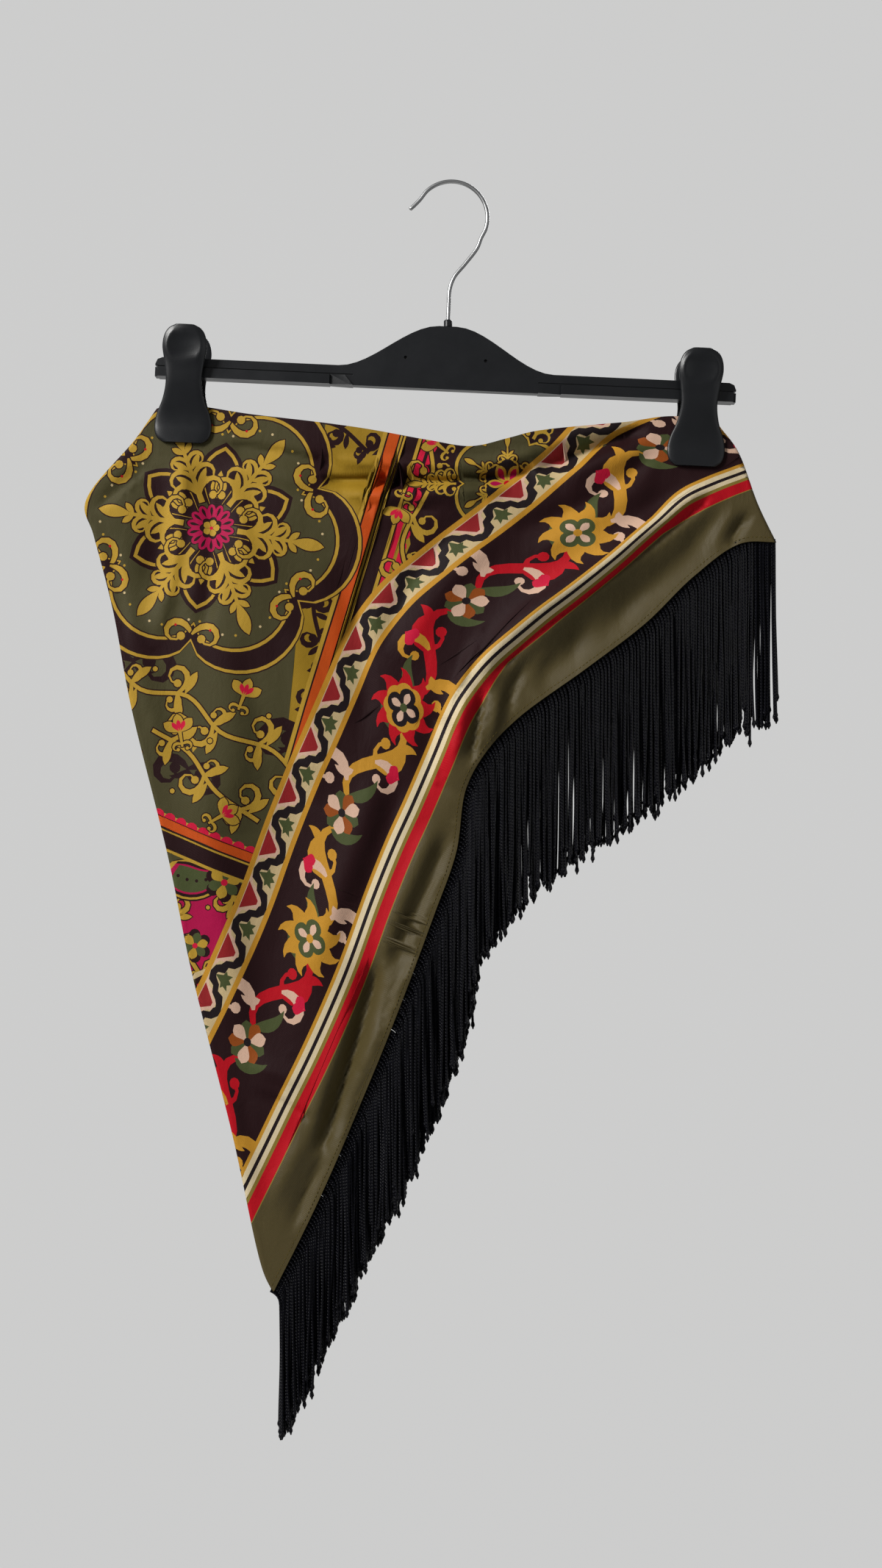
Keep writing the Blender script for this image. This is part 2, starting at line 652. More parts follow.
def vine(rows: Rows, step: float, length: float, thick: float) -> Callable[[float], list[Shape]]:
    """A stem through a table's rows with a long and a short scroll and two leaves at every step.

    Args:
        rows: x and z of each point on its way.
        step: spacing of the scrolls.
        length: length of each scroll.
        thick: half width of the scrolls; the stem's is 0.7 of it.

    Returns:
        A function of the outline's growth that gives the shapes.
    """
    line = smooth_run(rows, 5.0)
    total = lengths_along(line)[-1]

    def draw(grow: float) -> list[Shape]:
        """The vine's shapes, grown all round."""
        shapes = [ribbon(line, np.full(len(line), 0.7 * thick), grow)]
        for index, where in enumerate(np.arange(step * 0.4, total, step)):
            here, ahead = at_length(line, np.array([where, where + 1.0]))
            turn = math.degrees(np.angle(ahead - here))
            flip = index % 2 == 1
            side = -1 if flip else 1
            long = curl(length, 0.95, thick, grow, 1.5, 1.4)
            short = curl(length * 0.6, 0.8, thick * 0.8, grow, 1.5, 1.4)
            shapes += moved(long, here, turn + 34 * side, 1.0, flip)
            shapes += moved(short, here, turn - 44 * side, 1.0, not flip)
            leaf = petal(length * 0.42 + 2 * grow, length * 0.14 + 2 * grow, count=7) - grow
            shapes += moved([leaf], here, turn - 74 * side)
            shapes += moved([leaf], here + 3 * thick * (ahead - here), turn + 68 * side)
        return shapes
    return draw


def blossom(petals: int, reach: float, inks: Sequence[Ink], eye: Ink, blunt: float = 0.62) -> Motif:
    """A flower of round petals that take turns between inks, with an eye."""
    motif: Motif = []
    width = 2 * math.pi * reach * 0.62 / petals
    for index in range(petals):
        shape = moved([petal(reach, width, blunt)], turn=360 * index / petals)[0]
        motif.append((inks[index % len(inks)], shape))
    motif.append((eye, ring(reach * 0.2, 12)))
    return motif


def star_leaf(size: float) -> Shape:
    """A small leaf of three points on a short stem, pointing along +x."""
    outline = np.array([0, 2.2 + 1.6j, 0.9 + 4.4j, 4.0 + 3.4j, 5.2 + 5.0j, 6.2 + 2.2j, 10.5 + 0j])
    return size * np.concatenate([outline, np.conj(outline[1:-1][::-1])])


class Border:
    """The border's own map: s runs down its black stripe from the right, t runs outwards from it."""

    STRIPE: Rows = (
        (212.1, -209.2), (189, -218), (167.3, -228.9), (148.2, -246), (133.3, -259), (118.3, -272.4),
        (87.9, -297),
        (66.6, -313), (49.5, -327), (29.1, -344.4), (16, -359), (4.5, -375), (-3.5, -391), (-11, -409.5),
        (-28, -449.3),
        (-41.6, -479.2), (-57, -517.3), (-77, -572), (-101, -626.9), (-121.2, -668), (-135, -696.6),
        (-149.2, -725.5),
    )
    LEAN = 0.7986 - 0.6018j
    ROLLED = 8.0
    SEEN = 7.4
    TUCKED = 8.2
    # s, and the share of the tuck or of the rolled stripes that shows there
    TUCK: Rows = ((0, 1.0), (50, 1.0), (80, 0.45), (150, 0.42), (190, 0.5), (225, 0.35), (262, 1.0),
                  (900, 1.0))
    ROLL: Rows = ((0, 1.0), (40, 1.0), (75, 0.72), (140, 0.8), (230, 0.95), (300, 1.0), (900, 1.0))

    def __init__(self) -> None:
        """Draws the stripe's line."""
        self.line = smooth_run(self.STRIPE, 2.0)
        self.length = float(lengths_along(self.line)[-1])

    def wrap(self, shape: Shape) -> Shape:
        """A shape of s + t i as it lies on the cloth. Where the cloth tucks under itself, t draws in."""
        s, t = shape.real, shape.imag
        tuck = np.interp(s, *zip(*self.TUCK))
        roll = np.interp(s, *zip(*self.ROLL))
        rolled = self.ROLLED
        t = np.where(np.abs(t) < rolled, t * roll, t - np.sign(t) * rolled * (1 - roll))
        hidden = np.clip(t - self.SEEN * roll, 0, self.TUCKED) * (1 - tuck)
        return at_length(self.line, s) + (t - hidden) * self.LEAN

    def band(self, low: float, high: float) -> Shape:
        """The strip between two values of t."""
        s = np.arange(-60.0, self.length + 120.0, 5.0)
        return self.wrap(np.concatenate([s + 1j * low, (s + 1j * high)[::-1]]))


@dataclass
class ScarfPrint:
    """The whole print of what hangs in sight, drawn layer on layer; plain leaves out its small ornament."""

    plain: bool = False
    border: Border = field(default_factory=Border)
    shapes: Motif = field(default_factory=list)

    ZIGZAG_REPEAT = 40.0
    FLOWER_REPEAT = 90.0

    def draw(self) -> Motif:
        """Draws every layer in order and returns them."""
        self.grounds()
        self.lower_field()
        self.middle_field()
        self.right_field()
        self.medallion(-174 - 250j, 98.0)
        self.flower_band()
        self.guards()
        self.zigzag()
        self.stripes()
        return self.shapes

    def add(self, ink: Ink, shape: Shape) -> None:
        """Lays a shape over what is drawn."""
        self.shapes.append((ink, shape))

    def lay(self, motif: Motif, at: complex, turn: float = 0.0, size: float = 1.0,
            flip: bool = False) -> None:
        """Lays a motif over what is drawn."""
        self.shapes += placed(motif, at, turn, size, flip)

    def beads(self, places: Iterable[complex], radius: float, ink: Ink, edge: Ink = Ink.PLUM) -> None:
        """Small rounds with a dark line round them."""
        for at in places:
            self.add(edge, ring(radius + 0.8, 8, at))
            self.add(ink, ring(radius, 8, at))

    # ---- the field
    def ribbon_band(self, start: complex, end: complex, stripes: Sequence[tuple[float, Ink]]) -> None:
        """Straight stripes side by side from start to end; each row is a stripe's width and ink."""
        side = (end - start) / abs(end - start) * 1j
        offset = 0.0
        for width, ink in stripes:
            self.add(ink, np.array([start + side * offset, end + side * offset,
                                    end + side * (offset + width), start + side * (offset + width)]))
            offset += width

    def scallops(self, start: complex, end: complex, repeat: float, ink: Ink) -> None:
        """A row of half rounds along the left of a line."""
        length = abs(end - start)
        way = (end - start) / length
        bump = np.exp(1j * np.linspace(0, np.pi, 7)) * repeat / 2
        for index in range(int(length / repeat)):
            self.add(ink, start + way * (repeat * (index + 0.5) + bump))

    def grounds(self) -> None:
        """The grounds that lie under the field's ornament."""
        self.add(Ink.OLIVE, np.array([-320 - 120j, -320 - 860j, 320 - 860j, 320 - 120j]))
        self.add(Ink.YELLOW,
                 np.array([-88 - 150j, -112 - 330j, -118 - 392j, -100 - 410j, 20 - 330j, 0 - 150j]))
        self.add(Ink.PLUM,
                 np.array([-46 - 150j, -30 - 262j, -60 - 330j, -40 - 400j, 60 - 300j, 220 - 190j,
                           220 - 150j]))
        self.add(Ink.MAGENTA, np.array([-300 - 452j, -60 - 560j, -120 - 700j, -300 - 700j]))

    def medallion(self, at: complex, reach: float) -> None:
        """A round of six broad lobes in a plum ribbon edged in gold, with long sprays round a small rosette."""
        cusps = [60 * index + 20 for index in range(6)]
        for share, ink in ((1.13, Ink.PLUM), (1.12, Ink.GOLD), (1.095, Ink.PLUM), (0.955, Ink.GOLD),
                           (0.93, Ink.PLUM), (0.92, Ink.OLIVE)):
            self.add(ink, at + lobes(6, reach * share, 0.24, 90, 0.62) * np.exp(1j * np.pi / 9))
        hook = outlined(lambda grow: curl(42, 0.86, 2.4, grow, 1.5, 1.3), Ink.GOLD)
        for cusp in cusps:
            for flip, side in ((False, -150), (True, 150)):
                self.lay(hook, at + reach * 0.80 * toward(cusp), cusp + side, 1.0, flip)
        if not self.plain:
            self.rim_dots(at, reach, 54)
        for cusp in cusps:
            for ink, length, width, start in ((Ink.PLUM, 57, 33, 0), (Ink.GOLD, 52, 27.5, 2),
                                              (Ink.PLUM, 49, 24, 2)):
                self.lay([(ink, petal(length, width, 0.7, 12) + start)], at + 6 * toward(cusp), cusp)
            for turn, length in ((0, 20), (-24, 13), (24, 13)):
                self.lay([(Ink.GOLD, moved([petal(length, 5.4, 0.7, 8)], 22, turn)[0])], at, cusp)
        for cusp in cusps:
            self.lay(outlined(spray(1.4, 3), Ink.GOLD), at + 20 * toward(cusp + 30), cusp + 30)
        for radius, ink in ((18.6, Ink.PLUM), (17.6, Ink.MAGENTA)):
            self.add(ink, at + lobes(14, radius, 0.2, 70, 0.8))
        for index in range(14):
            self.lay([(Ink.PLUM, petal(8, 2.2, 0.62, 6) + 8)], at, 360 / 14 * (index + 0.5))
        self.add(Ink.PLUM, at + lobes(7, 8.4, 0.2, 42))
        self.lay(blossom(5, 6.4, (Ink.GOLD,), Ink.ROSE), at)

    def rim_dots(self, at: complex, reach: float, count: int) -> None:
        """A line of dots in three inks that follows the medallion's lobes from inside."""
        for index in range(count):
            angle = 2 * np.pi * (index + 0.5) / count
            share = 0.83 - 0.2 * (1 - abs(math.cos(3 * (angle - math.radians(50)))) ** 0.62)
            ink = (Ink.GOLD, Ink.RED, Ink.CREAM)[index % 3]
            self.add(ink, ring(1.0, 6, at + reach * share * np.exp(1j * angle)))

    def tulip(self, at: complex, turn: float, size: float = 1.0) -> None:
        """A gold tulip head with a rose heart on a short stem."""
        def draw(grow: float) -> list[Shape]:
            """The head's shapes, grown all round."""
            shapes = [ribbon(np.linspace(-12, 2, 4) + 0j, np.array([0.9, 1.1, 1.4, 1.6]), grow)]
            for angle in (-50, 0, 50):
                shapes += moved([petal(16 + 2 * grow, 8.6 + 2 * grow, 0.7, 8) - grow], turn=angle)
            for flip in (False, True):
                shapes += moved(curl(15, 0.7, 1.3, grow), at=-10, turn=-60 if flip else 60, flip=flip)
            return shapes
        self.lay(outlined(draw, Ink.GOLD), at, turn, size)
        for angle in (-30, 0, 30):
            self.lay([(Ink.ROSE, petal(9.5, 3.8, 0.7, 7) + 1.5)], at, turn + angle, size)

    def heart(self, at: complex, turn: float, size: float = 1.0) -> None:
        """A plum ornament of two facing scrolls with a gold bud between."""
        for flip in (False, True):
            for shape in curl(72, 0.98, 4.4, 0.0, 1.5, 1.2):
                self.lay([(Ink.PLUM, shape)], at, turn + (-52 if flip else 52), size, flip)
            self.lay([(Ink.PLUM, crescent(20, 70, 2.6))], at, turn + (200 if flip else 160), size, not flip)
        self.lay([(Ink.GOLD, petal(13, 6, 0.7, 8) + 15)], at, turn, size)

    def middle_field(self) -> None:
        """Vines, hearts and tulips on the olive below the medallion, and the bands that close it."""
        self.ribbon_band(-300 - 446j, -20 - 560j, (
            (2.2, Ink.GOLD), (1.0, Ink.PLUM), (10.0, Ink.PLUM), (1.4, Ink.GOLD), (1.2, Ink.PLUM),
            (6.5, Ink.ORANGE),
            (1.0, Ink.PLUM), (2.2, Ink.GOLD)))
        self.scallops(-300 - 421.4j, -20 - 535.4j, 9.0, Ink.ROSE)
        for at, turn, size in ((-106 - 406j, 62, 1.05), (-230 - 346j, 96, 0.95), (-190 - 424j, 74, 0.8)):
            self.heart(at, turn, size)
        for rows in (((-262, -320), (-226, -366), (-190, -372), (-166, -398), (-128, -412), (-100, -452)),
                     ((-216, -396), (-190, -412), (-170, -440), (-140, -462))):
            self.lay(outlined(vine(rows, 36, 45, 2.1), Ink.GOLD), 0)
        for at, turn in ((-196 - 398j, 100), (-150 - 372j, 70), (-96 - 420j, 250), (-166 - 458j, 30)):
            self.tulip(at, turn, 0.86)
        self.beads((-214 - 352j, -132 - 386j, -174 - 404j, -122 - 436j, -226 - 412j, -78 - 398j, -202 - 440j,
                    -246 - 330j), 1.9, Ink.GOLD)

    def right_field(self) -> None:
        """The plum ground under the sagging top edge: an open star of scrolls and a slanting band."""
        for rows in (((-112, -160), (-96, -186), (-104, -220), (-92, -262), (-100, -306), (-92, -350),
                      (-104, -390)),
                     ((-214, -160), (-232, -186), (-250, -232), (-250, -290), (-244, -330)),
                     ((-160, -160), (-120, -172), (-84, -176), (-60, -196))):
            self.lay([(Ink.PLUM, shape) for shape in vine(rows, 24, 30, 2.2)(0.0)], 0)
        self.ribbon_band(-40 - 150j, -122 - 420j, (
            (3.0, Ink.GOLD), (1.2, Ink.PLUM), (7.6, Ink.ORANGE), (1.0, Ink.PLUM), (1.4, Ink.GOLD),
            (1.0, Ink.PLUM),
            (1.4, Ink.GOLD), (9.0, Ink.PLUM), (2.4, Ink.GOLD), (1.0, Ink.PLUM), (4.0, Ink.ROSE)))
        self.scallops(-6 - 160j, -88 - 430j, 9.4, Ink.ROSE)
        for rows, length, thick in ((((-24, -160), (-14, -214), (-36, -262), (-26, -306), (-48, -350)), 42,
                                     1.9),
                                    (((20, -292), (34, -262), (84, -236), (128, -196), (168, -182)), 40,
                                     1.8)):
            self.lay(outlined(vine(rows, 36, length, thick), Ink.GOLD), 0)
        centre = 40 - 218j
        for radius, ink in ((42, Ink.BLACK), (41, Ink.GOLD), (38.6, Ink.BLACK), (37.8, Ink.OLIVE)):
            self.add(ink, centre + lobes(6, radius, 0.2, 66, 0.6))
        for index in range(6):
            turn = 60 * index + 30
            self.lay(outlined(spray(0.6, 2), Ink.GOLD), centre + 9 * toward(turn), turn)
            between = centre + 37 * toward(turn) * np.exp(0.52j)
            self.lay(outlined(spray(0.8, 3), Ink.GOLD, Ink.BLACK), between, turn + 30)
        self.add(Ink.BLACK, centre + lobes(6, 17, 0.3, 48, 0.7))
        for index in range(6):
            heart = (Ink.MAGENTA, petal(9.5, 4.4, 0.7, 7) + 3.4)
            self.lay([(Ink.GOLD, petal(15, 8.2, 0.7, 8)), heart], centre, 60 * index)
        self.beads([centre], 2.8, Ink.RED, Ink.GOLD)
        for at, turn in ((-38 - 236j, 250), (132 - 186j, 0), (-10 - 190j, 140), (96 - 184j, 80)):
            self.tulip(at, turn, 0.8)

    def paisley(self, at: complex, turn: float, size: float, inks: Sequence[Ink], flip: bool = False) -> None:
        """A drop with a bent tip in nested inks, with dots down its middle."""
        spine = np.concatenate([[0], np.cumsum(np.exp(1j * np.linspace(0, 1.9, 15)) * 3.6)])
        profile = np.sin(np.pi * np.linspace(0.02, 0.98, 16) ** 0.62) ** 0.75
        for inset, ink in zip((0, 1.2, 2.8, 5.0, 6.4), inks):
            trim = int(inset / 2.6)
            widths = np.maximum(0.25, 15.5 * profile - inset)
            keep = slice(trim, len(spine) - trim)
            self.lay([(ink, ribbon(spine[keep], widths[keep]))], at, turn, size, flip)
        for index in range(3, 12, 2):
            self.lay([(inks[0], ring(1.3, 7, spine[index]))], at, turn, size, flip)

    def lower_field(self) -> None:
        """Paisleys, vines and flowers on the magenta ground of the lower left."""
        for rows in (((-232, -470), (-206, -520), (-190, -560), (-160, -610), (-152, -660)),
                     ((-180, -486), (-150, -528), (-128, -560), (-140, -610))):
            self.lay(outlined(vine(rows, 26, 32, 2.0), Ink.GOLD), 0)
        warm = (Ink.PLUM, Ink.GOLD, Ink.PLUM, Ink.MAGENTA, Ink.MOSS)
        cool = (Ink.PLUM, Ink.CREAM, Ink.OLIVE, Ink.PLUM, Ink.ROSE)
        for at, turn, size, inks, flip in (
            (-206 - 494j, -50, 1.0, warm, False), (-136 - 512j, -80, 0.9, cool, True),
            (-182 - 570j, -70, 0.95, cool, False), (-158 - 632j, -74, 0.8, warm, True),
        ):
            self.paisley(at, turn, size, inks, flip)
        for at, reach in ((-164 - 506j, 12), (-186 - 552j, 10), (-146 - 590j, 11), (-214 - 540j, 9),
                          (-164 - 656j, 10), (-116 - 516j, 10), (-160 - 560j, 9)):
            self.add(Ink.PLUM, at + lobes(6, reach + 2.4, 0.3, 36, 0.8))
            self.lay(blossom(6, reach, (Ink.GOLD, Ink.MOSS), Ink.ROSE), at, 15)
        places = (-176 - 524j, -146 - 548j, -200 - 576j, -128 - 552j, -172 - 612j, -212 - 516j)
        self.beads(places, 1.6, Ink.GOLD)

    # ---- the border
    def guards(self) -> None:
        """The chevron row's ground and its two guard lines."""
        for low, high, ink in ((-96.8, -92.6, Ink.AMBER), (-93, -73, Ink.CREAM), (-73.2, -69.4, Ink.AMBER)):
            self.add(ink, self.border.band(low, high))

    def zigzag(self) -> None:
        """The chevron row: brick triangles, a dark wavy line and small leaves on cream."""
        repeat, wrap = self.ZIGZAG_REPEAT, self.border.wrap
        step = np.array([-16.5 - 92.6j, 16.5 - 92.6j, 10 - 89.4j, 9 - 85j, 5 - 83j, 3.6 - 79j,
                         -3.6 - 79j, -5 - 83j, -9 - 85j, -10 - 89.4j])
        brick = np.array([-10.4 - 92.4j, 10.4 - 92.4j, 1.4 - 81.4j, -1.4 - 81.4j])
        leaf = star_leaf(1.32) * np.exp(-1j * np.pi / 2) + repeat / 2 - 74.4j
        wave = np.array([20 - 90.3j, 24 - 89j, 26.5 - 84.6j, 31 - 83.2j, 33 - 78.6j, 37 - 76.4j,
                         40 - 75.6j, 43 - 76.4j, 47 - 78.6j, 49 - 83.2j, 53.5 - 84.6j, 56 - 89j])
        starts = repeat * np.arange(-2, int((self.border.length + 120) / repeat) + 2)
        for s in starts:
            for ink, shape in ((Ink.BLUSH, step), (Ink.BRICK, brick), (Ink.MOSS, leaf)):
                self.add(ink, wrap(s + shape))
        path = np.concatenate([s + wave for s in starts])
        side = np.full(len(path), 2.5)
        side[1::3] = 3.3
        self.add(Ink.BLACK, wrap(ribbon(path, side)))

    def flower_band(self) -> None:
        """The plum ground and its ornament: flowers of two kinds in turn, joined by one bold vine."""
        repeat, middle = self.FLOWER_REPEAT, -38.5
        self.add(Ink.PLUM, self.border.band(-71.0, -7))
        count = int((self.border.length + 160) / repeat) + 2
        for index in range(-1, count):
            self.vine_span((index + 0.3) * repeat, middle, repeat, index)
        for index in range(-1, count):
            s = (index + 0.3) * repeat
            head = self.flame_flower if index % 2 else self.open_flower
            self.wrapped(head(index), complex(s, middle + (4 if index % 2 else -7)))

    def wrapped(self, motif: Motif, at: complex, turn: float = 0.0, size: float = 1.0,
                flip: bool = False) -> None:
        """Lays a motif on the border's map."""
        self.shapes += [(ink, self.border.wrap(shape)) for ink, shape in placed(motif, at, turn, size, flip)]

    def flame_flower(self, index: int) -> Motif:
        """A flower with a ring of bent flames, a quatrefoil and pale petals."""
        outer, middle, inner, eye = (
            (Ink.AMBER, Ink.AMBER, Ink.MOSS, Ink.AMBER),
            (Ink.RED, Ink.AMBER, Ink.BLACK, Ink.MOSS))[index // 2 % 2]
        motif: Motif = [(outer, ring(16.5, 24))]
        for turn in range(0, 360, 40):
            flame = ribbon(np.array([0, 4, 7.5 + 0.4j, 10.5 + 2.2j, 12.5 + 5.2j]),
                           np.array([6.4, 5.0, 3.2, 1.6, 0.2]))
            motif.append((outer, moved([flame], at=13.5 * toward(turn), turn=turn)[0]))
        motif.append((middle, lobes(8, 16.5, 0.1, 48)))
        motif.append((inner, lobes(4, 13.6, 0.34, 40, 0.7) * np.exp(1j * np.pi / 4)))
        for turn in range(0, 360, 90):
            motif.append((Ink.BLUSH, moved([petal(10.8, 5.4, 0.6, 8)], turn=turn)[0]))
        motif.append((eye, ring(3.0, 10)))
        return motif

    def open_flower(self, index: int) -> Motif:
        """A wide flower of nine petals in three inks with a dark eye."""
        inks = (Ink.BLUSH, Ink.RUST, Ink.MOSS)
        motif: Motif = []
        for order in (2, 1, 0):
            for petal_index in range(order, 9, 3):
                motif.append((inks[order], moved([petal(15, 9.4, 0.58, 8)], turn=40 * petal_index + 12)[0]))
        motif.append((Ink.BLACK, ring(3.0, 10)))
        return motif

    def vine_span(self, s: float, middle: float, repeat: float, index: int) -> None:
        """One span of the vine from flower to flower: a bold stem, hooked scrolls, bent leaves and a bud."""
        up = 1 if index % 2 else -1
        ink = (Ink.AMBER, Ink.RED, Ink.RED, Ink.AMBER)[index % 4]
        second = (Ink.BLUSH, Ink.BLUSH, Ink.AMBER, Ink.BLUSH)[index % 4]
        t = np.linspace(0, 1, 15)
        path = s + repeat * t + 1j * (middle - up * 6 + up * (12 * t + 17 * np.sin(2 * np.pi * t)))
        self.add(ink, self.border.wrap(ribbon(path, 1.6 + 2.8 * np.sin(np.pi * t) ** 2)))

        def on_stem(share: float) -> complex:
            """The place on the stem at a share of the span."""
            return complex(np.interp(share, t, path.real), np.interp(share, t, path.imag))
        for place, turn, length, thick, flip, tone in (
            (0.24, 30 * up, 54, 4.2, up > 0, ink), (0.76, -150 * up, 54, 4.2, up < 0, second),
            (0.5, 118 * up, 44, 3.6, up > 0, second),
        ):
            scroll = [(tone, shape) for shape in curl(length, 0.78, thick, 0.0, 1.5, 0.95)]
            self.wrapped(scroll, on_stem(place), turn, 1.0, flip)
        for place, turn, length, bend, thick, tone in (
            (0.32, 150 * up, 16, -70 * up, 3.2, ink), (0.66, -36 * up, 16, -70 * up, 3.2, second),
            (0.16, -74 * up, 28, -80 * up, 4.0, Ink.MOSS), (0.86, 104 * up, 30, 80 * up, 4.2, Ink.MOSS),
        ):
            leaf = crescent(length, bend, thick)
            self.wrapped([(tone, leaf)], on_stem(place), turn)
        bud = complex(s + repeat * 0.5, middle + up * 22)
        self.wrapped([(Ink.ROSE, petal(11, 8, 0.55, 8) * np.exp(1j * a)) for a in (-0.42, 0.42)], bud,
                     -90 * up)

    def stripes(self) -> None:
        """The straight stripes between the flowers and the plain olive edge."""
        for low, high, ink in ((-7.8, -5.0, Ink.AMBER), (-5.2, -1.2, Ink.WHITE), (-1.4, 1.4, Ink.BLACK),
                               (1.2, 4.7, Ink.WHITE), (4.6, 7.3, Ink.KHAKI), (7.2, 15.7, Ink.RED),
                               (15.6, 16.4, Ink.KHAKI), (16.3, 90, Ink.SATEEN)):
            self.add(ink, self.border.band(low, high))


# ------------------------------------------------------------------ meshes
def make_object(name: str, points: np.ndarray, faces: Sequence[Sequence[int]]) -> bpy.types.Object:
    """A mesh object from points in millimetres and faces, linked to the scene."""
    mesh = bpy.data.meshes.new(name)
    mesh.from_pydata((np.asarray(points) * MM).tolist(), [], [list(face) for face in faces])
    mesh.update()
    obj = bpy.data.objects.new(name, mesh)
    bpy.context.scene.collection.objects.link(obj)
    return obj


def make_threads(name: str, paths: Sequence[np.ndarray],
                 girths: Sequence[np.ndarray] = ()) -> bpy.types.Object:
    """Threads through points in millimetres, linked to the scene, with a girth attribute if girths are given."""
    points, edges = [], []
    for path in paths:
        start = len(points)
        points.extend(path)
        edges.extend((start + i, start + i + 1) for i in range(len(path) - 1))
    mesh = bpy.data.meshes.new(name)
    mesh.from_pydata((np.array(points) * MM).tolist(), edges, [])
    if len(girths):
        mesh.attributes.new("girth", "FLOAT", "POINT").data.foreach_set("value", np.concatenate(girths) * MM)
    obj = bpy.data.objects.new(name, mesh)
    bpy.context.scene.collection.objects.link(obj)
    return obj


def apply_modifiers(obj: bpy.types.Object) -> None:
    """Turns an object's live modifiers into its plain mesh."""
    graph = bpy.context.evaluated_depsgraph_get()
    mesh = bpy.data.meshes.new_from_object(obj.evaluated_get(graph))
    old = obj.data
    obj.modifiers.clear()
    obj.data = mesh
    bpy.data.meshes.remove(old)
    mesh.name = obj.name


def shade_smooth(obj: bpy.types.Object, angle: float | None = None) -> None:
    """Smooth shading, with edges over an angle in degrees kept sharp if one is given."""
    obj.data.polygons.foreach_set("use_smooth", [True] * len(obj.data.polygons))
    if angle is not None:
        obj.data.set_sharp_from_angle(angle=math.radians(angle))


@dataclass
class CutPlane:
    """The flat cloth cut along every edge of its print: places, triangles and an ink for each triangle."""

    places: Shape
    triangles: np.ndarray
    inks: np.ndarray
    loop: list[int]


def cut_print(outline: Shape, shapes: Motif, loops: Sequence[Shape], points: Shape) -> CutPlane:
    """Cuts the flat cloth along the edges of its print.

    Args:
        outline: the cloth's closed outline.
        shapes: the print's shapes in the order that they are laid.
        loops: other closed lines to cut along.
        points: loose points that keep the facets small.

    Returns:
        The cut cloth.
    """
    low, high = complex(outline.real.min(), outline.imag.min()), complex(outline.real.max(),
                                                                         outline.imag.max())
    kept = []
    for ink, shape in shapes:
        apart = (shape.real.max() < low.real or shape.real.min() > high.real
                 or shape.imag.max() < low.imag or shape.imag.min() > high.imag)
        if not apart:
            kept.append((ink, shape))
    coords: list[Vector] = []
    edges: list[tuple[int, int]] = []
    for shape in [outline, *loops, *(shape for _, shape in kept)]:
        start = len(coords)
        coords += [Vector((p.real, p.imag)) for p in shape]
        edges += [(start + i, start + (i + 1) % len(shape)) for i in range(len(shape))]
    coords += [Vector((p.real, p.imag)) for p in points]
    verts, _, faces, *_ = delaunay_2d_cdt(coords, edges, [], 0, 1e-3, False)
    places = np.array([complex(v.x, v.y) for v in verts])
    triangles = np.array([face for face in faces if len(face) == 3])
    centres = places[triangles].mean(axis=1)
    within = inside(outline, centres)
    area = cross(places[triangles[:, 1]] - places[triangles[:, 0]],
                 places[triangles[:, 2]] - places[triangles[:, 0]])
    triangles[area < 0] = triangles[area < 0][:, ::-1]
    within &= np.abs(area) > 1e-9
    triangles, centres = triangles[within], centres[within]
    inks = np.zeros(len(triangles), int)
    order = list(Ink)
    for ink, shape in kept:
        near = np.nonzero((centres.real > shape.real.min()) & (centres.real < shape.real.max())
                          & (centres.imag > shape.imag.min()) & (centres.imag < shape.imag.max()))[0]
        hit = near[inside(shape, centres[near])]
        inks[hit] = order.index(ink)
    used, triangles = np.unique(triangles, return_inverse=True)
    triangles = triangles.reshape(-1, 3)
    return CutPlane(places[used], triangles, inks, border_loop(triangles))


def border_loop(triangles: np.ndarray) -> list[int]:
    """The corners round the edge of a patch of triangles, in order."""
    ends = np.concatenate([triangles[:, [0, 1]], triangles[:, [1, 2]], triangles[:, [2, 0]]])
    known = {(a, b) for a, b in ends.tolist()}
    follow = {a: b for a, b in known if (b, a) not in known}
    start = next(iter(follow))
    loop = [start]
    while follow[loop[-1]] != start:
        loop.append(follow[loop[-1]])
    return loop


@dataclass
class Skin:
    """A mesh in the making: points, faces, a normal for each corner and an ink for each face."""

    points: list[np.ndarray] = field(default_factory=list)
    faces: list[np.ndarray] = field(default_factory=list)
    normals: list[np.ndarray] = field(default_factory=list)
    inks: list[np.ndarray] = field(default_factory=list)
    count: int = 0

    def put(self, points: np.ndarray) -> int:
        """Adds points and returns the number of the first."""
        start = self.count
        self.points.append(points)
        self.count += len(points)
        return start

    def cover(self, faces: np.ndarray, normals: np.ndarray, inks: np.ndarray) -> None:
        """Adds triangles with a normal for each of their corners and an ink for each."""
        self.faces.append(faces)
        self.normals.append(normals)
        self.inks.append(inks)

    def rim(self, quads: Sequence[Sequence[int]], ways: Sequence[complex]) -> None:
        """Closes the side with quads in the ground's ink, each facing its own way out."""
        faces = [tri for a, b, c, d in quads for tri in ((a, b, c), (a, c, d))]
        normals = [np.tile([way.real, 0.0, way.imag], (3, 1)) for way in ways for _ in range(2)]
        self.cover(np.array(faces), np.array(normals), np.full(len(faces), list(Ink).index(Ink.OLIVE)))

    def build(self, name: str) -> bpy.types.Object:
        """The finished object, with its normals and its ink attribute."""
        faces = np.concatenate(self.faces)
        obj = make_object(name, np.concatenate(self.points), faces.tolist())
        shade_smooth(obj)
        obj.data.normals_split_custom_set(np.concatenate(self.normals).reshape(-1, 3).tolist())
        palette = np.array([ink.linear() for ink in Ink], np.float32)
        colours = palette[np.concatenate(self.inks)].repeat(3, axis=0)
        layer = obj.data.color_attributes.new("ink", "FLOAT_COLOR", "CORNER")
        layer.data.foreach_set("color", colours.ravel())
        return obj


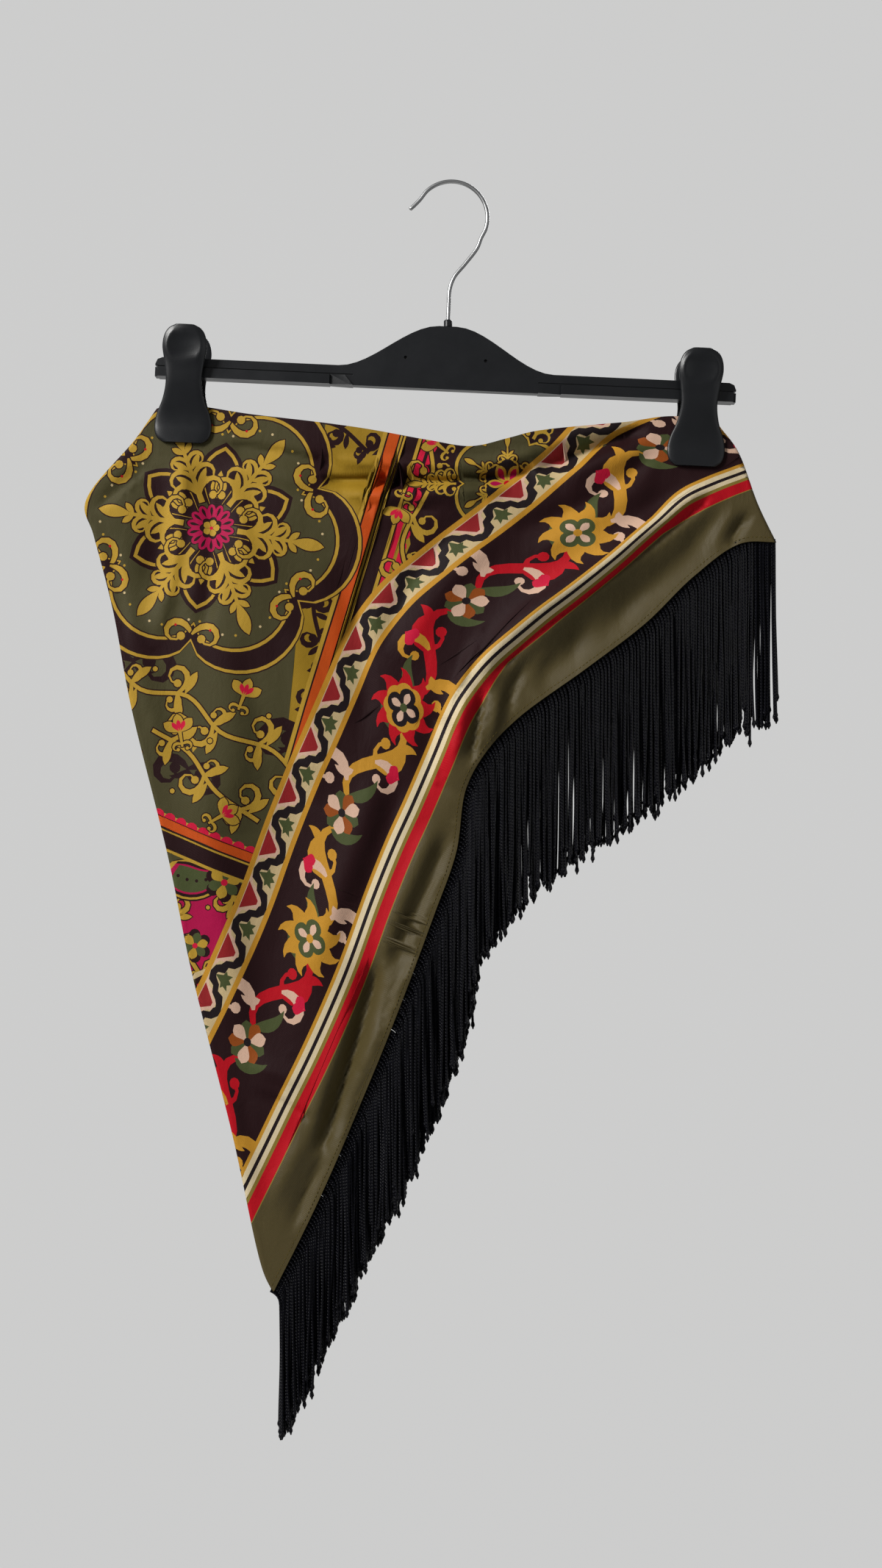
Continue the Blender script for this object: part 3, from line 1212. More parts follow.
# ------------------------------------------------------------------ finishes
class NodeGraph:
    """A tree of nodes, with short calls to add and join them."""

    def __init__(self, tree: bpy.types.NodeTree) -> None:
        """Takes the tree to fill."""
        self.tree = tree

    def add(self, kind: str, **values: object) -> bpy.types.Node:
        """Adds a node; a value named after an input sets it, any other sets a property."""
        node = self.tree.nodes.new(kind)
        for key, value in values.items():
            socket = node.inputs.get(key.replace("_", " "))
            if socket is not None:
                socket.default_value = value
            else:
                setattr(node, key, value)
        return node

    def join(self, out: bpy.types.NodeSocket, into: bpy.types.NodeSocket) -> None:
        """Joins two sockets."""
        self.tree.links.new(out, into)

    def chain(self, *nodes: bpy.types.Node) -> None:
        """Joins each node's first output to the next one's first input."""
        for before, after in zip(nodes, nodes[1:]):
            self.join(before.outputs[0], after.inputs[0])


class MaterialTree(NodeGraph):
    """A material's nodes round one principled shader."""

    def __init__(self, name: str) -> None:
        """Makes a material with a principled shader."""
        self.material = bpy.data.materials.new(name)
        self.material.use_nodes = True
        super().__init__(self.material.node_tree)
        self.shader = self.tree.nodes["Principled BSDF"]

    def maths(self, operation: str, *operands: object) -> bpy.types.NodeSocket:
        """A math node on sockets or numbers."""
        node = self.add("ShaderNodeMath", operation=operation)
        for socket, value in zip(node.inputs, operands):
            if isinstance(value, bpy.types.NodeSocket):
                self.join(value, socket)
            else:
                socket.default_value = value
        return node.outputs[0]

    def set(self, **values: object) -> None:
        """Sets uniform values on the shader's own sockets."""
        for key, value in values.items():
            self.shader.inputs[key.replace("_", " ")].default_value = value

    def bump(self, height: bpy.types.NodeSocket, distance: float, strength: float) -> None:
        """Gives the shader a bump."""
        node = self.add("ShaderNodeBump", Strength=strength, Distance=distance)
        self.join(height, node.inputs["Height"])
        self.join(node.outputs["Normal"], self.shader.inputs["Normal"])


@dataclass(frozen=True)
class SilkFinish:
    """Printed silk twill with a satin edge: an ink attribute, a fine diagonal weave and a soft sheen."""

    weave_pitch: float = 0.00042
    twill_roughness: float = 0.66
    satin_roughness: float = 0.58
    cloudiness: float = 0.16

    def material(self) -> bpy.types.Material:
        """Builds the material."""
        tree = MaterialTree("printed_silk")
        ink = tree.add("ShaderNodeAttribute", attribute_name="ink", attribute_type="GEOMETRY")
        place = tree.add("ShaderNodeTexCoord")
        cloud = tree.add("ShaderNodeTexNoise", Scale=38.0, Detail=5.0, Roughness=0.62)
        tree.join(place.outputs["Object"], cloud.inputs["Vector"])
        thread = tree.add("ShaderNodeTexNoise", Scale=1.0, Detail=2.0, Roughness=0.5)
        stretch = tree.add("ShaderNodeMapping", Scale=(2600.0, 400.0, 900.0), Rotation=(0.0, 0.65, 0.0))
        tree.join(place.outputs["Object"], stretch.inputs["Vector"])
        tree.join(stretch.outputs["Vector"], thread.inputs["Vector"])
        shade = tree.maths("MULTIPLY_ADD", cloud.outputs["Fac"], self.cloudiness, 1.0 - self.cloudiness / 2)
        fleck = tree.maths("MULTIPLY_ADD", thread.outputs["Fac"], 0.22, 0.89)
        both = tree.maths("MULTIPLY", shade, fleck)
        tone = tree.add("ShaderNodeVectorMath", operation="SCALE")
        tree.join(ink.outputs["Color"], tone.inputs[0])
        tree.join(both, tone.inputs["Scale"])
        tree.join(tone.outputs["Vector"], tree.shader.inputs["Base Color"])
        rough = tree.maths("MULTIPLY_ADD", ink.outputs["Alpha"], self.satin_roughness - self.twill_roughness,
                           self.twill_roughness)
        tree.join(rough, tree.shader.inputs["Roughness"])
        twill = tree.add("ShaderNodeTexWave", Scale=1.0 / self.weave_pitch / 6.283, Distortion=1.2,
                         Detail=2.0,
                         bands_direction="DIAGONAL")
        twill.inputs["Detail Scale"].default_value = 1.6
        tree.join(place.outputs["Object"], twill.inputs["Vector"])
        ripple = tree.add("ShaderNodeTexNoise", Scale=52.0, Detail=4.0, Roughness=0.55, Distortion=0.6)
        drift = tree.add("ShaderNodeMapping", Scale=(1.0, 0.3, 0.55), Rotation=(0.0, 0.9, 0.0))
        tree.join(place.outputs["Object"], drift.inputs["Vector"])
        tree.join(drift.outputs["Vector"], ripple.inputs["Vector"])
        weave = tree.maths("ADD", tree.maths("MULTIPLY", twill.outputs["Fac"], 0.05),
                           tree.maths("MULTIPLY", thread.outputs["Fac"], 0.1))
        height = tree.maths("ADD", weave, ripple.outputs["Fac"])
        tree.bump(height, 0.0014, 0.7)
        shine = tree.maths("MULTIPLY_ADD", ink.outputs["Alpha"], 0.12, 0.14)
        tree.join(shine, tree.shader.inputs["Specular IOR Level"])
        return tree.material


@dataclass(frozen=True)
class CordFinish:
    """Black twisted viscose cord: ribs that wind round each cord, and a low sheen."""

    lay: float = 0.0023
    colour: tuple[float, float, float, float] = (0.0008, 0.0008, 0.0014, 1.0)

    def material(self) -> bpy.types.Material:
        """Builds the material."""
        tree = MaterialTree("fringe_cord")
        along = tree.add("ShaderNodeAttribute", attribute_name="along", attribute_type="GEOMETRY")
        around = tree.add("ShaderNodeAttribute", attribute_name="around", attribute_type="GEOMETRY")
        turns = tree.maths("MULTIPLY", along.outputs["Fac"], 2 * math.pi / self.lay)
        wound = tree.maths("ADD", turns, tree.maths("MULTIPLY", around.outputs["Fac"], 4 * math.pi))
        rib = tree.maths("SINE", wound)
        place = tree.add("ShaderNodeTexCoord")
        noise = tree.add("ShaderNodeTexNoise", Scale=160.0, Detail=3.0)
        tree.join(place.outputs["Object"], noise.inputs["Vector"])
        lift = tree.maths("MULTIPLY_ADD", rib, 0.22, noise.outputs["Fac"])
        mix = tree.add("ShaderNodeMix", data_type="RGBA")
        mix.inputs["A"].default_value = self.colour
        mix.inputs["B"].default_value = tuple(5.0 * c for c in self.colour[:3]) + (1.0,)
        tree.join(lift, mix.inputs["Factor"])
        tree.join(mix.outputs["Result"], tree.shader.inputs["Base Color"])
        tree.bump(rib, 0.0004, 0.7)
        tree.set(Roughness=0.42, Specular_IOR_Level=0.09)
        return tree.material


@dataclass(frozen=True)
class PlasticFinish:
    """Black moulded plastic with a satin grain and faint scuffs."""

    colour: tuple[float, float, float, float] = (0.0042, 0.0047, 0.0058, 1.0)

    def material(self) -> bpy.types.Material:
        """Builds the material."""
        tree = MaterialTree("hanger_plastic")
        place = tree.add("ShaderNodeTexCoord")
        grain = tree.add("ShaderNodeTexNoise", Scale=900.0, Detail=3.0)
        cloud = tree.add("ShaderNodeTexNoise", Scale=26.0, Detail=6.0, Roughness=0.7)
        for node in (grain, cloud):
            tree.join(place.outputs["Object"], node.inputs["Vector"])
        tone = tree.add("ShaderNodeMix", data_type="RGBA")
        tone.inputs["A"].default_value = self.colour
        tone.inputs["B"].default_value = tuple(1.7 * c for c in self.colour[:3]) + (1.0,)
        tree.join(cloud.outputs["Fac"], tone.inputs["Factor"])
        tree.join(tone.outputs["Result"], tree.shader.inputs["Base Color"])
        rough = tree.maths("MULTIPLY_ADD", cloud.outputs["Fac"], 0.2, 0.24)
        tree.join(rough, tree.shader.inputs["Roughness"])
        tree.bump(grain.outputs["Fac"], 0.00006, 0.5)
        tree.set(Specular_IOR_Level=0.42)
        return tree.material


@dataclass(frozen=True)
class SteelFinish:
    """Bright plated wire with faint drawing marks."""

    colour: tuple[float, float, float, float] = (0.36, 0.365, 0.37, 1.0)

    def material(self) -> bpy.types.Material:
        """Builds the material."""
        tree = MaterialTree("hook_steel")
        place = tree.add("ShaderNodeTexCoord")
        marks = tree.add("ShaderNodeTexNoise", Scale=90.0, Detail=2.0)
        tree.join(place.outputs["Object"], marks.inputs["Vector"])
        rough = tree.maths("MULTIPLY_ADD", marks.outputs["Fac"], 0.1, 0.34)
        tree.join(rough, tree.shader.inputs["Roughness"])
        tree.set(Base_Color=self.colour, Metallic=1.0)
        return tree.material


@dataclass
class Finishes:
    """Every material of the part."""

    silk: bpy.types.Material = field(default_factory=lambda: SilkFinish().material())
    cord: bpy.types.Material = field(default_factory=lambda: CordFinish().material())
    plastic: bpy.types.Material = field(default_factory=lambda: PlasticFinish().material())
    steel: bpy.types.Material = field(default_factory=lambda: SteelFinish().material())


# ------------------------------------------------------------------ the cloth
@dataclass
class SilkSquare:
    """The folded square and the corner turned behind it."""

    form: ClothForm
    finishes: Finishes
    facet: float = 3.9
    edge_rows: tuple[float, ...] = (0.25, 0.8, 1.7, 3.2)
    flap_clear: float = 1.2
    flap_ply: float = 0.8

    def loose_points(self, spacing: float, margin: float) -> Shape:
        """A triangular grid of points inside the outline, no nearer to it than a margin."""
        outline = self.form.outline()
        xs = np.arange(outline.real.min(), outline.real.max(), spacing)
        zs = np.arange(outline.imag.min(), outline.imag.max(), spacing * 0.866)
        grid = (xs[None, :] + (np.arange(len(zs)) % 2)[:, None] * spacing / 2 + 1j * zs[:, None]).ravel()
        grid = grid[inside(outline, grid)]
        closed = np.append(outline, outline[0])
        return grid[nearest_on(closed, grid).distance > margin]

    def edge_points(self) -> Shape:
        """Rows of points close behind the two folded edges, where the cloth turns."""
        rows = []
        for name in ("left", "right"):
            run = self.form.runs[name]
            way = np.gradient(run) * 1j
            way /= np.abs(way)
            way = np.where((way * np.conj(self.form.centre - run)).real > 0, way, -way)
            rows += [(run + way * row)[2:-2] for row in self.edge_rows]
        return np.concatenate(rows)

    def build(self) -> list[bpy.types.Object]:
        """Builds the front wall, the back wall and the flap behind it."""
        outline = self.form.outline()
        flap_line = smooth_run(FLAP_EDGE[1:-2], 3.0)
        flap_line = np.concatenate([[complex(*FLAP_EDGE[0])], flap_line,
                                    [complex(*FLAP_EDGE[-2]), complex(*FLAP_EDGE[-1])]])
        points = np.concatenate([self.loose_points(self.facet, 3.2), self.edge_points()])
        front = cut_print(outline, ScarfPrint().draw(), [], points)
        back = cut_print(outline, ScarfPrint(plain=True).draw(), [flap_line], points)
        pieces = [self.wall(front, Face.FRONT), self.wall(back, Face.BACK), self.flap(back, flap_line)]
        for piece, node in zip(pieces, ("scarf_cloth", "scarf_cloth", "corner_flap")):
            piece.data.materials.append(self.finishes.silk)
            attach(piece, "root")
            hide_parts(node)
        return pieces

    def wall(self, cut: CutPlane, face: Face) -> bpy.types.Object:
        """One wall as a closed skin: printed outside, plain inside, with a rim all round.

        Args:
            cut: the flat cloth, cut along its print.
            face: FRONT or BACK.

        Returns:
            The finished piece.
        """
        places = cut.places[cut.loop]
        inner = cut_print(places, [], [], self.loose_points(self.facet * 1.5, 4.0))
        olive = list(Ink).index(Ink.OLIVE)
        skin = Skin()
        points, normals = self.form.skin(cut.places, face)
        outer_start = skin.put(points)
        corners = cut.triangles if face is Face.FRONT else cut.triangles[:, ::-1]
        skin.cover(outer_start + corners, normals[corners], cut.inks)
        under, normals = self.form.skin(inner.places, face, self.form.ply)
        inner_start = skin.put(under)
        corners = inner.triangles[:, ::-1] if face is Face.FRONT else inner.triangles
        skin.cover(inner_start + corners, -normals[corners], np.full(len(corners), olive))
        lookup = {(round(p.real, 3), round(p.imag, 3)): i for i, p in enumerate(inner.places)}
        partner = [lookup[(round(p.real, 3), round(p.imag, 3))] for p in places]
        quads, ways = [], []
        for a, b, c, d in zip(cut.loop, cut.loop[1:] + cut.loop[:1], partner[1:] + partner[:1], partner):
            way = (cut.places[b] - cut.places[a]) * -1j
            ways.append(way / abs(way))
            quad = (outer_start + b, outer_start + a, inner_start + d, inner_start + c)
            quads.append(quad[::-1] if face is Face.BACK else quad)
        skin.rim(quads, ways)
        total = sum(len(faces) for faces in skin.faces)
        LOG.info("%s wall: %d printed triangles of %d", face.value, len(cut.triangles), total)
        return skin.build(f"scarf_cloth_{face.value}")

    def flap(self, cut: CutPlane, line: Shape) -> bpy.types.Object:
        """The turned-back corner: a closed skin over the back wall."""
        chosen = inside(line, cut.places[cut.triangles].mean(axis=1))
        used, triangles = np.unique(cut.triangles[chosen], return_inverse=True)
        triangles = triangles.reshape(-1, 3)
        places = cut.places[used]
        points, normals = self.form.skin(places, Face.BACK)
        lift = np.array([0.0, 1.0, 0.0])
        skin = Skin()
        top = skin.put(points + lift * (self.flap_clear + self.flap_ply))
        under = skin.put(points + lift * self.flap_clear)
        flipped = triangles[:, ::-1]
        skin.cover(top + flipped, normals[flipped], cut.inks[chosen])
        skin.cover(under + triangles, -normals[triangles], cut.inks[chosen])
        loop = border_loop(triangles)
        quads, ways = [], []
        for a, b in zip(loop, loop[1:] + loop[:1]):
            way = (places[b] - places[a]) * -1j
            ways.append(way / abs(way))
            quads.append((top + a, top + b, under + b, under + a))
        skin.rim(quads, ways)
        return skin.build("corner_flap_silk")


# ------------------------------------------------------------------ fringe and stitches by Geometry Nodes
class GeometryTree(NodeGraph):
    """A Geometry Nodes group with named inputs, and short calls to fill it."""

    def __init__(self, name: str) -> None:
        """Makes an empty group with one geometry in and one out."""
        super().__init__(bpy.data.node_groups.new(name, "GeometryNodeTree"))
        self.tree.interface.new_socket("Geometry", in_out="INPUT", socket_type="NodeSocketGeometry")
        self.tree.interface.new_socket("Geometry", in_out="OUTPUT", socket_type="NodeSocketGeometry")
        self.sockets: dict[str, str] = {}
        self.values: dict[str, object] = {}

    def add_input(self, name: str, kind: str, value: object) -> None:
        """Adds a named input and the value that the modifier will set."""
        socket = self.tree.interface.new_socket(name, in_out="INPUT", socket_type=kind)
        self.sockets[name] = socket.identifier
        self.values[name] = value

    def ends(self) -> tuple[bpy.types.Node, bpy.types.Node]:
        """The group's input and output nodes, made once all inputs are named."""
        return self.add("NodeGroupInput"), self.add("NodeGroupOutput")

    def grow(self, obj: bpy.types.Object) -> None:
        """Runs the group on an object and keeps the result as its plain mesh."""
        modifier = obj.modifiers.new(self.tree.name, "NODES")
        modifier.node_group = self.tree
        for name, value in self.values.items():
            modifier[self.sockets[name]] = value
        apply_modifiers(obj)


def cord_tree(name: str, sides: int, material: bpy.types.Material) -> GeometryTree:
    """A tree that turns loose threads with a girth attribute into round cords."""
    tree = GeometryTree(name)
    tree.add_input("Sides", "NodeSocketInt", sides)
    tree.add_input("Material", "NodeSocketMaterial", material)
    source, sink = tree.ends()
    curves = tree.add("GeometryNodeMeshToCurve")
    girth = tree.add("GeometryNodeInputNamedAttribute", data_type="FLOAT", Name="girth")
    spline = tree.add("GeometryNodeSplineParameter")
    along = tree.add("GeometryNodeStoreNamedAttribute", data_type="FLOAT", domain="POINT", Name="along")
    circle = tree.add("GeometryNodeCurvePrimitiveCircle", mode="RADIUS")
    circle.inputs["Radius"].default_value = 1.0
    turn = tree.add("GeometryNodeSplineParameter")
    around = tree.add("GeometryNodeStoreNamedAttribute", data_type="FLOAT", domain="POINT", Name="around")
    tube = tree.add("GeometryNodeCurveToMesh")
    tube.inputs["Fill Caps"].default_value = True
    smoothing = tree.add("GeometryNodeSetShadeSmooth")
    realize = tree.add("GeometryNodeRealizeInstances")
    finish = tree.add("GeometryNodeSetMaterial")
    tree.chain(source, curves, along, tube, smoothing, realize, finish, sink)
    tree.chain(circle, around)
    tree.join(spline.outputs["Length"], along.inputs["Value"])
    tree.join(source.outputs["Sides"], circle.inputs["Resolution"])
    tree.join(turn.outputs["Factor"], around.inputs["Value"])
    tree.join(around.outputs["Geometry"], tube.inputs["Profile Curve"])
    tree.join(girth.outputs["Attribute"], tube.inputs["Scale"])
    tree.join(source.outputs["Material"], finish.inputs["Material"])
    return tree


@dataclass
class Fringe:
    """The black cords along the hem, two rows deep on each wall."""

    form: ClothForm
    finishes: Finishes
    pitch: float = 2.9
    girth: float = 1.02
    sides: int = 7
    bend_x: float = 24.0
    seed: int = 11
    clump: float = 11.0
    fall: float = 15.0
    uneven: float = 3.6
    short_share: float = 0.14
    knot: tuple[float, ...] = (1.5, 1.6, 0.8, 0.4)
    LENGTHS: tuple[tuple[float, float], ...] = (
        (-130, 112), (-75, 114), (-40, 131), (0, 141), (30, 142), (85, 135), (180, 143), (240, 133))

    def build(self) -> list[bpy.types.Object]:
        """Builds the four runs of fringe."""
        pieces = []
        for side, face in (("front", Face.FRONT), ("back", Face.BACK)):
            for run, low, high in (("lower", -200.0, self.bend_x), ("upper", self.bend_x, 300.0)):
                piece = self.run(f"fringe_{side}_{run}", face, low, high)
                LOG.info("%s: %d faces", piece.name, len(piece.data.polygons))
                pieces.append(piece)
        return pieces

    def run(self, node: str, face: Face, low: float, high: float) -> bpy.types.Object:
        """One run of fringe between two values of x, standing for a node.

        Args:
            node: the node that it replaces.
            face: the wall that it hangs on.
            low: where it starts.
            high: where it ends.

        Returns:
            The finished piece.
        """
        random = np.random.default_rng(self.seed + sum(map(ord, node)))
        hem = resample(smooth_run(HEM, 2.0), 0.5)
        lengths = lengths_along(hem)
        paths, girths = [], []
        for row in range(2):
            shift = (0.25 + 0.5 * row) * self.pitch
            stations = np.arange(shift, lengths[-1] - 0.5, self.pitch)
            stations = stations[(at_length(hem, stations).real >= low) & (at_length(hem,
                                                                                    stations).real < high)]
            stations = stations + random.normal(0, 0.25, len(stations))
            for station, depth in zip(stations, self.root_depths(at_length(hem, stations), face, row)):
                path, widths = self.cord(hem, station, depth, random)
                paths.append(path)
                girths.append(widths)
        obj = make_threads(f"{node}_cords", paths, girths)
        cord_tree("grow_cords", self.sides, self.finishes.cord).grow(obj)
        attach(obj, "root")
        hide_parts(node)
        return obj

    def root_depths(self, places: Shape, face: Face, row: int) -> np.ndarray:
        """How deep, in y, the cords of a row start between the walls at places on the hem."""
        depths = self.form.depths(places, self.form.edge(places).distance)
        middle = (depths[Face.FRONT] + depths[Face.BACK]) / 2
        room = np.abs(depths[face] - middle) - self.form.ply - self.girth - 0.2
        return middle + np.sign(depths[face] - middle) * np.maximum(0.4, room) * (1.0 - 0.62 * row)

    def cord(self, hem: Shape, station: float, depth: float,
             random: np.random.Generator) -> tuple[np.ndarray, np.ndarray]:
        """The way of one cord from under the cloth's edge to its knotted end, and its girth on the way."""
        here = at_length(hem, np.array([station - 0.5, station, station + 0.5]))
        way = (here[2] - here[0]) / abs(here[2] - here[0])
        out = way * -1j
        place = here[1:2]
        steepness = abs(way.imag)
        length = float(np.interp(place[0].real, *zip(*self.LENGTHS)))
        length += random.normal(0, self.uneven) - (random.random() < self.short_share) * random.uniform(4, 14)
        arc = np.concatenate([[0, 2.0, 4.5, 7, 10, 13.5, 18, 25], np.linspace(38, length - 6.0, 9)])
        arc = np.concatenate([arc, length - np.array([4.2, 3.0, 1.6, 0.4])])
        blend = smooth(np.clip(arc / self.fall, 0, 1))
        heading = out * (1 - blend) + -1j * blend
        heading /= np.abs(heading)
        steps = np.diff(arc) * (heading[1:] + heading[:-1]) / 2
        flat = place[0] - out * 2.4 + np.concatenate([[0], np.cumsum(steps)])
        hang = np.clip((arc - 12) / (length - 12), 0, 1)
        centre = (np.floor(flat[-1].real / self.clump) + 0.5) * self.clump
        pull = (centre - flat[-1].real) * random.uniform(0.0, 0.3) * hang**1.8
        wave = random.normal(0, 0.7) * np.sin(arc / 21 + random.uniform(0, 6.3)) * hang
        lean = random.normal(0, 1.7) * hang**1.5
        x = flat.real + pull + wave + lean
        spread = 0.9 + 1.5 * steepness
        y = depth + random.normal(0, 0.25 * spread) * blend + random.normal(0, spread) * hang
        y = y + random.normal(0, 0.4) * np.sin(arc / 17 + random.uniform(0, 6.3)) * hang
        girth = self.girth * random.uniform(0.92, 1.06)
        widths = np.full(len(arc), girth)
        widths[-4:] = girth * np.array(self.knot)
        return np.stack([x, y, flat.imag], axis=1), widths


@dataclass
class HemStitches:
    """A row of short stitches that holds the fringe, on the front and the back of the hem."""

    form: ClothForm
    finishes: Finishes
    inset: float = 3.2
    lift: float = 0.08
    pitch: float = 0.0031
    size: tuple[float, float, float] = (0.00105, 0.00022, 0.00022)

    def tree(self) -> GeometryTree:
        """The tree that sets one stitch at every step of a line."""
        tree = GeometryTree("sew_hem")
        tree.add_input("Pitch", "NodeSocketFloat", self.pitch)
        tree.add_input("Stitch Size", "NodeSocketVector", self.size)
        tree.add_input("Material", "NodeSocketMaterial", self.finishes.silk)
        source, sink = tree.ends()
        line = tree.add("GeometryNodeMeshToCurve")
        spaced = tree.add("GeometryNodeResampleCurve", mode="LENGTH")
        tangent = tree.add("GeometryNodeInputTangent")
        align = tree.add("FunctionNodeAlignRotationToVector", axis="X")
        ball = tree.add("GeometryNodeMeshUVSphere", Segments=7, Rings=5, Radius=1.0)
        place = tree.add("GeometryNodeInstanceOnPoints")
        realize = tree.add("GeometryNodeRealizeInstances")
        smoothing = tree.add("GeometryNodeSetShadeSmooth")
        finish = tree.add("GeometryNodeSetMaterial")
        tree.chain(source, line, spaced, place, realize, smoothing, finish, sink)
        tree.join(source.outputs["Pitch"], spaced.inputs["Length"])
        tree.join(tangent.outputs["Tangent"], align.inputs["Vector"])
        tree.join(align.outputs["Rotation"], place.inputs["Rotation"])
        tree.join(source.outputs["Stitch Size"], place.inputs["Scale"])
        tree.join(ball.outputs["Mesh"], place.inputs["Instance"])
        tree.join(source.outputs["Material"], finish.inputs["Material"])
        return tree

    def build(self) -> bpy.types.Object:
        """Sews both rows into one piece."""
        hem = smooth_run(HEM, 2.0)
        way = np.gradient(hem)
        line = (hem + 1j * way / np.abs(way) * self.inset)[3:-3]
        paths = []
        for face in (Face.FRONT, Face.BACK):
            skin, normals = self.form.skin(line, face)
            paths.append(skin + normals * self.lift)
        obj = make_threads("hem_stitches", paths)
        self.tree().grow(obj)
        tint = obj.data.color_attributes.new("ink", "FLOAT_COLOR", "CORNER")
        thread = np.tile(Ink.KHAKI.linear(), (len(obj.data.loops), 1)).astype(np.float32) * 0.5
        tint.data.foreach_set("color", thread.ravel())
        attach(obj, "root")
        return obj


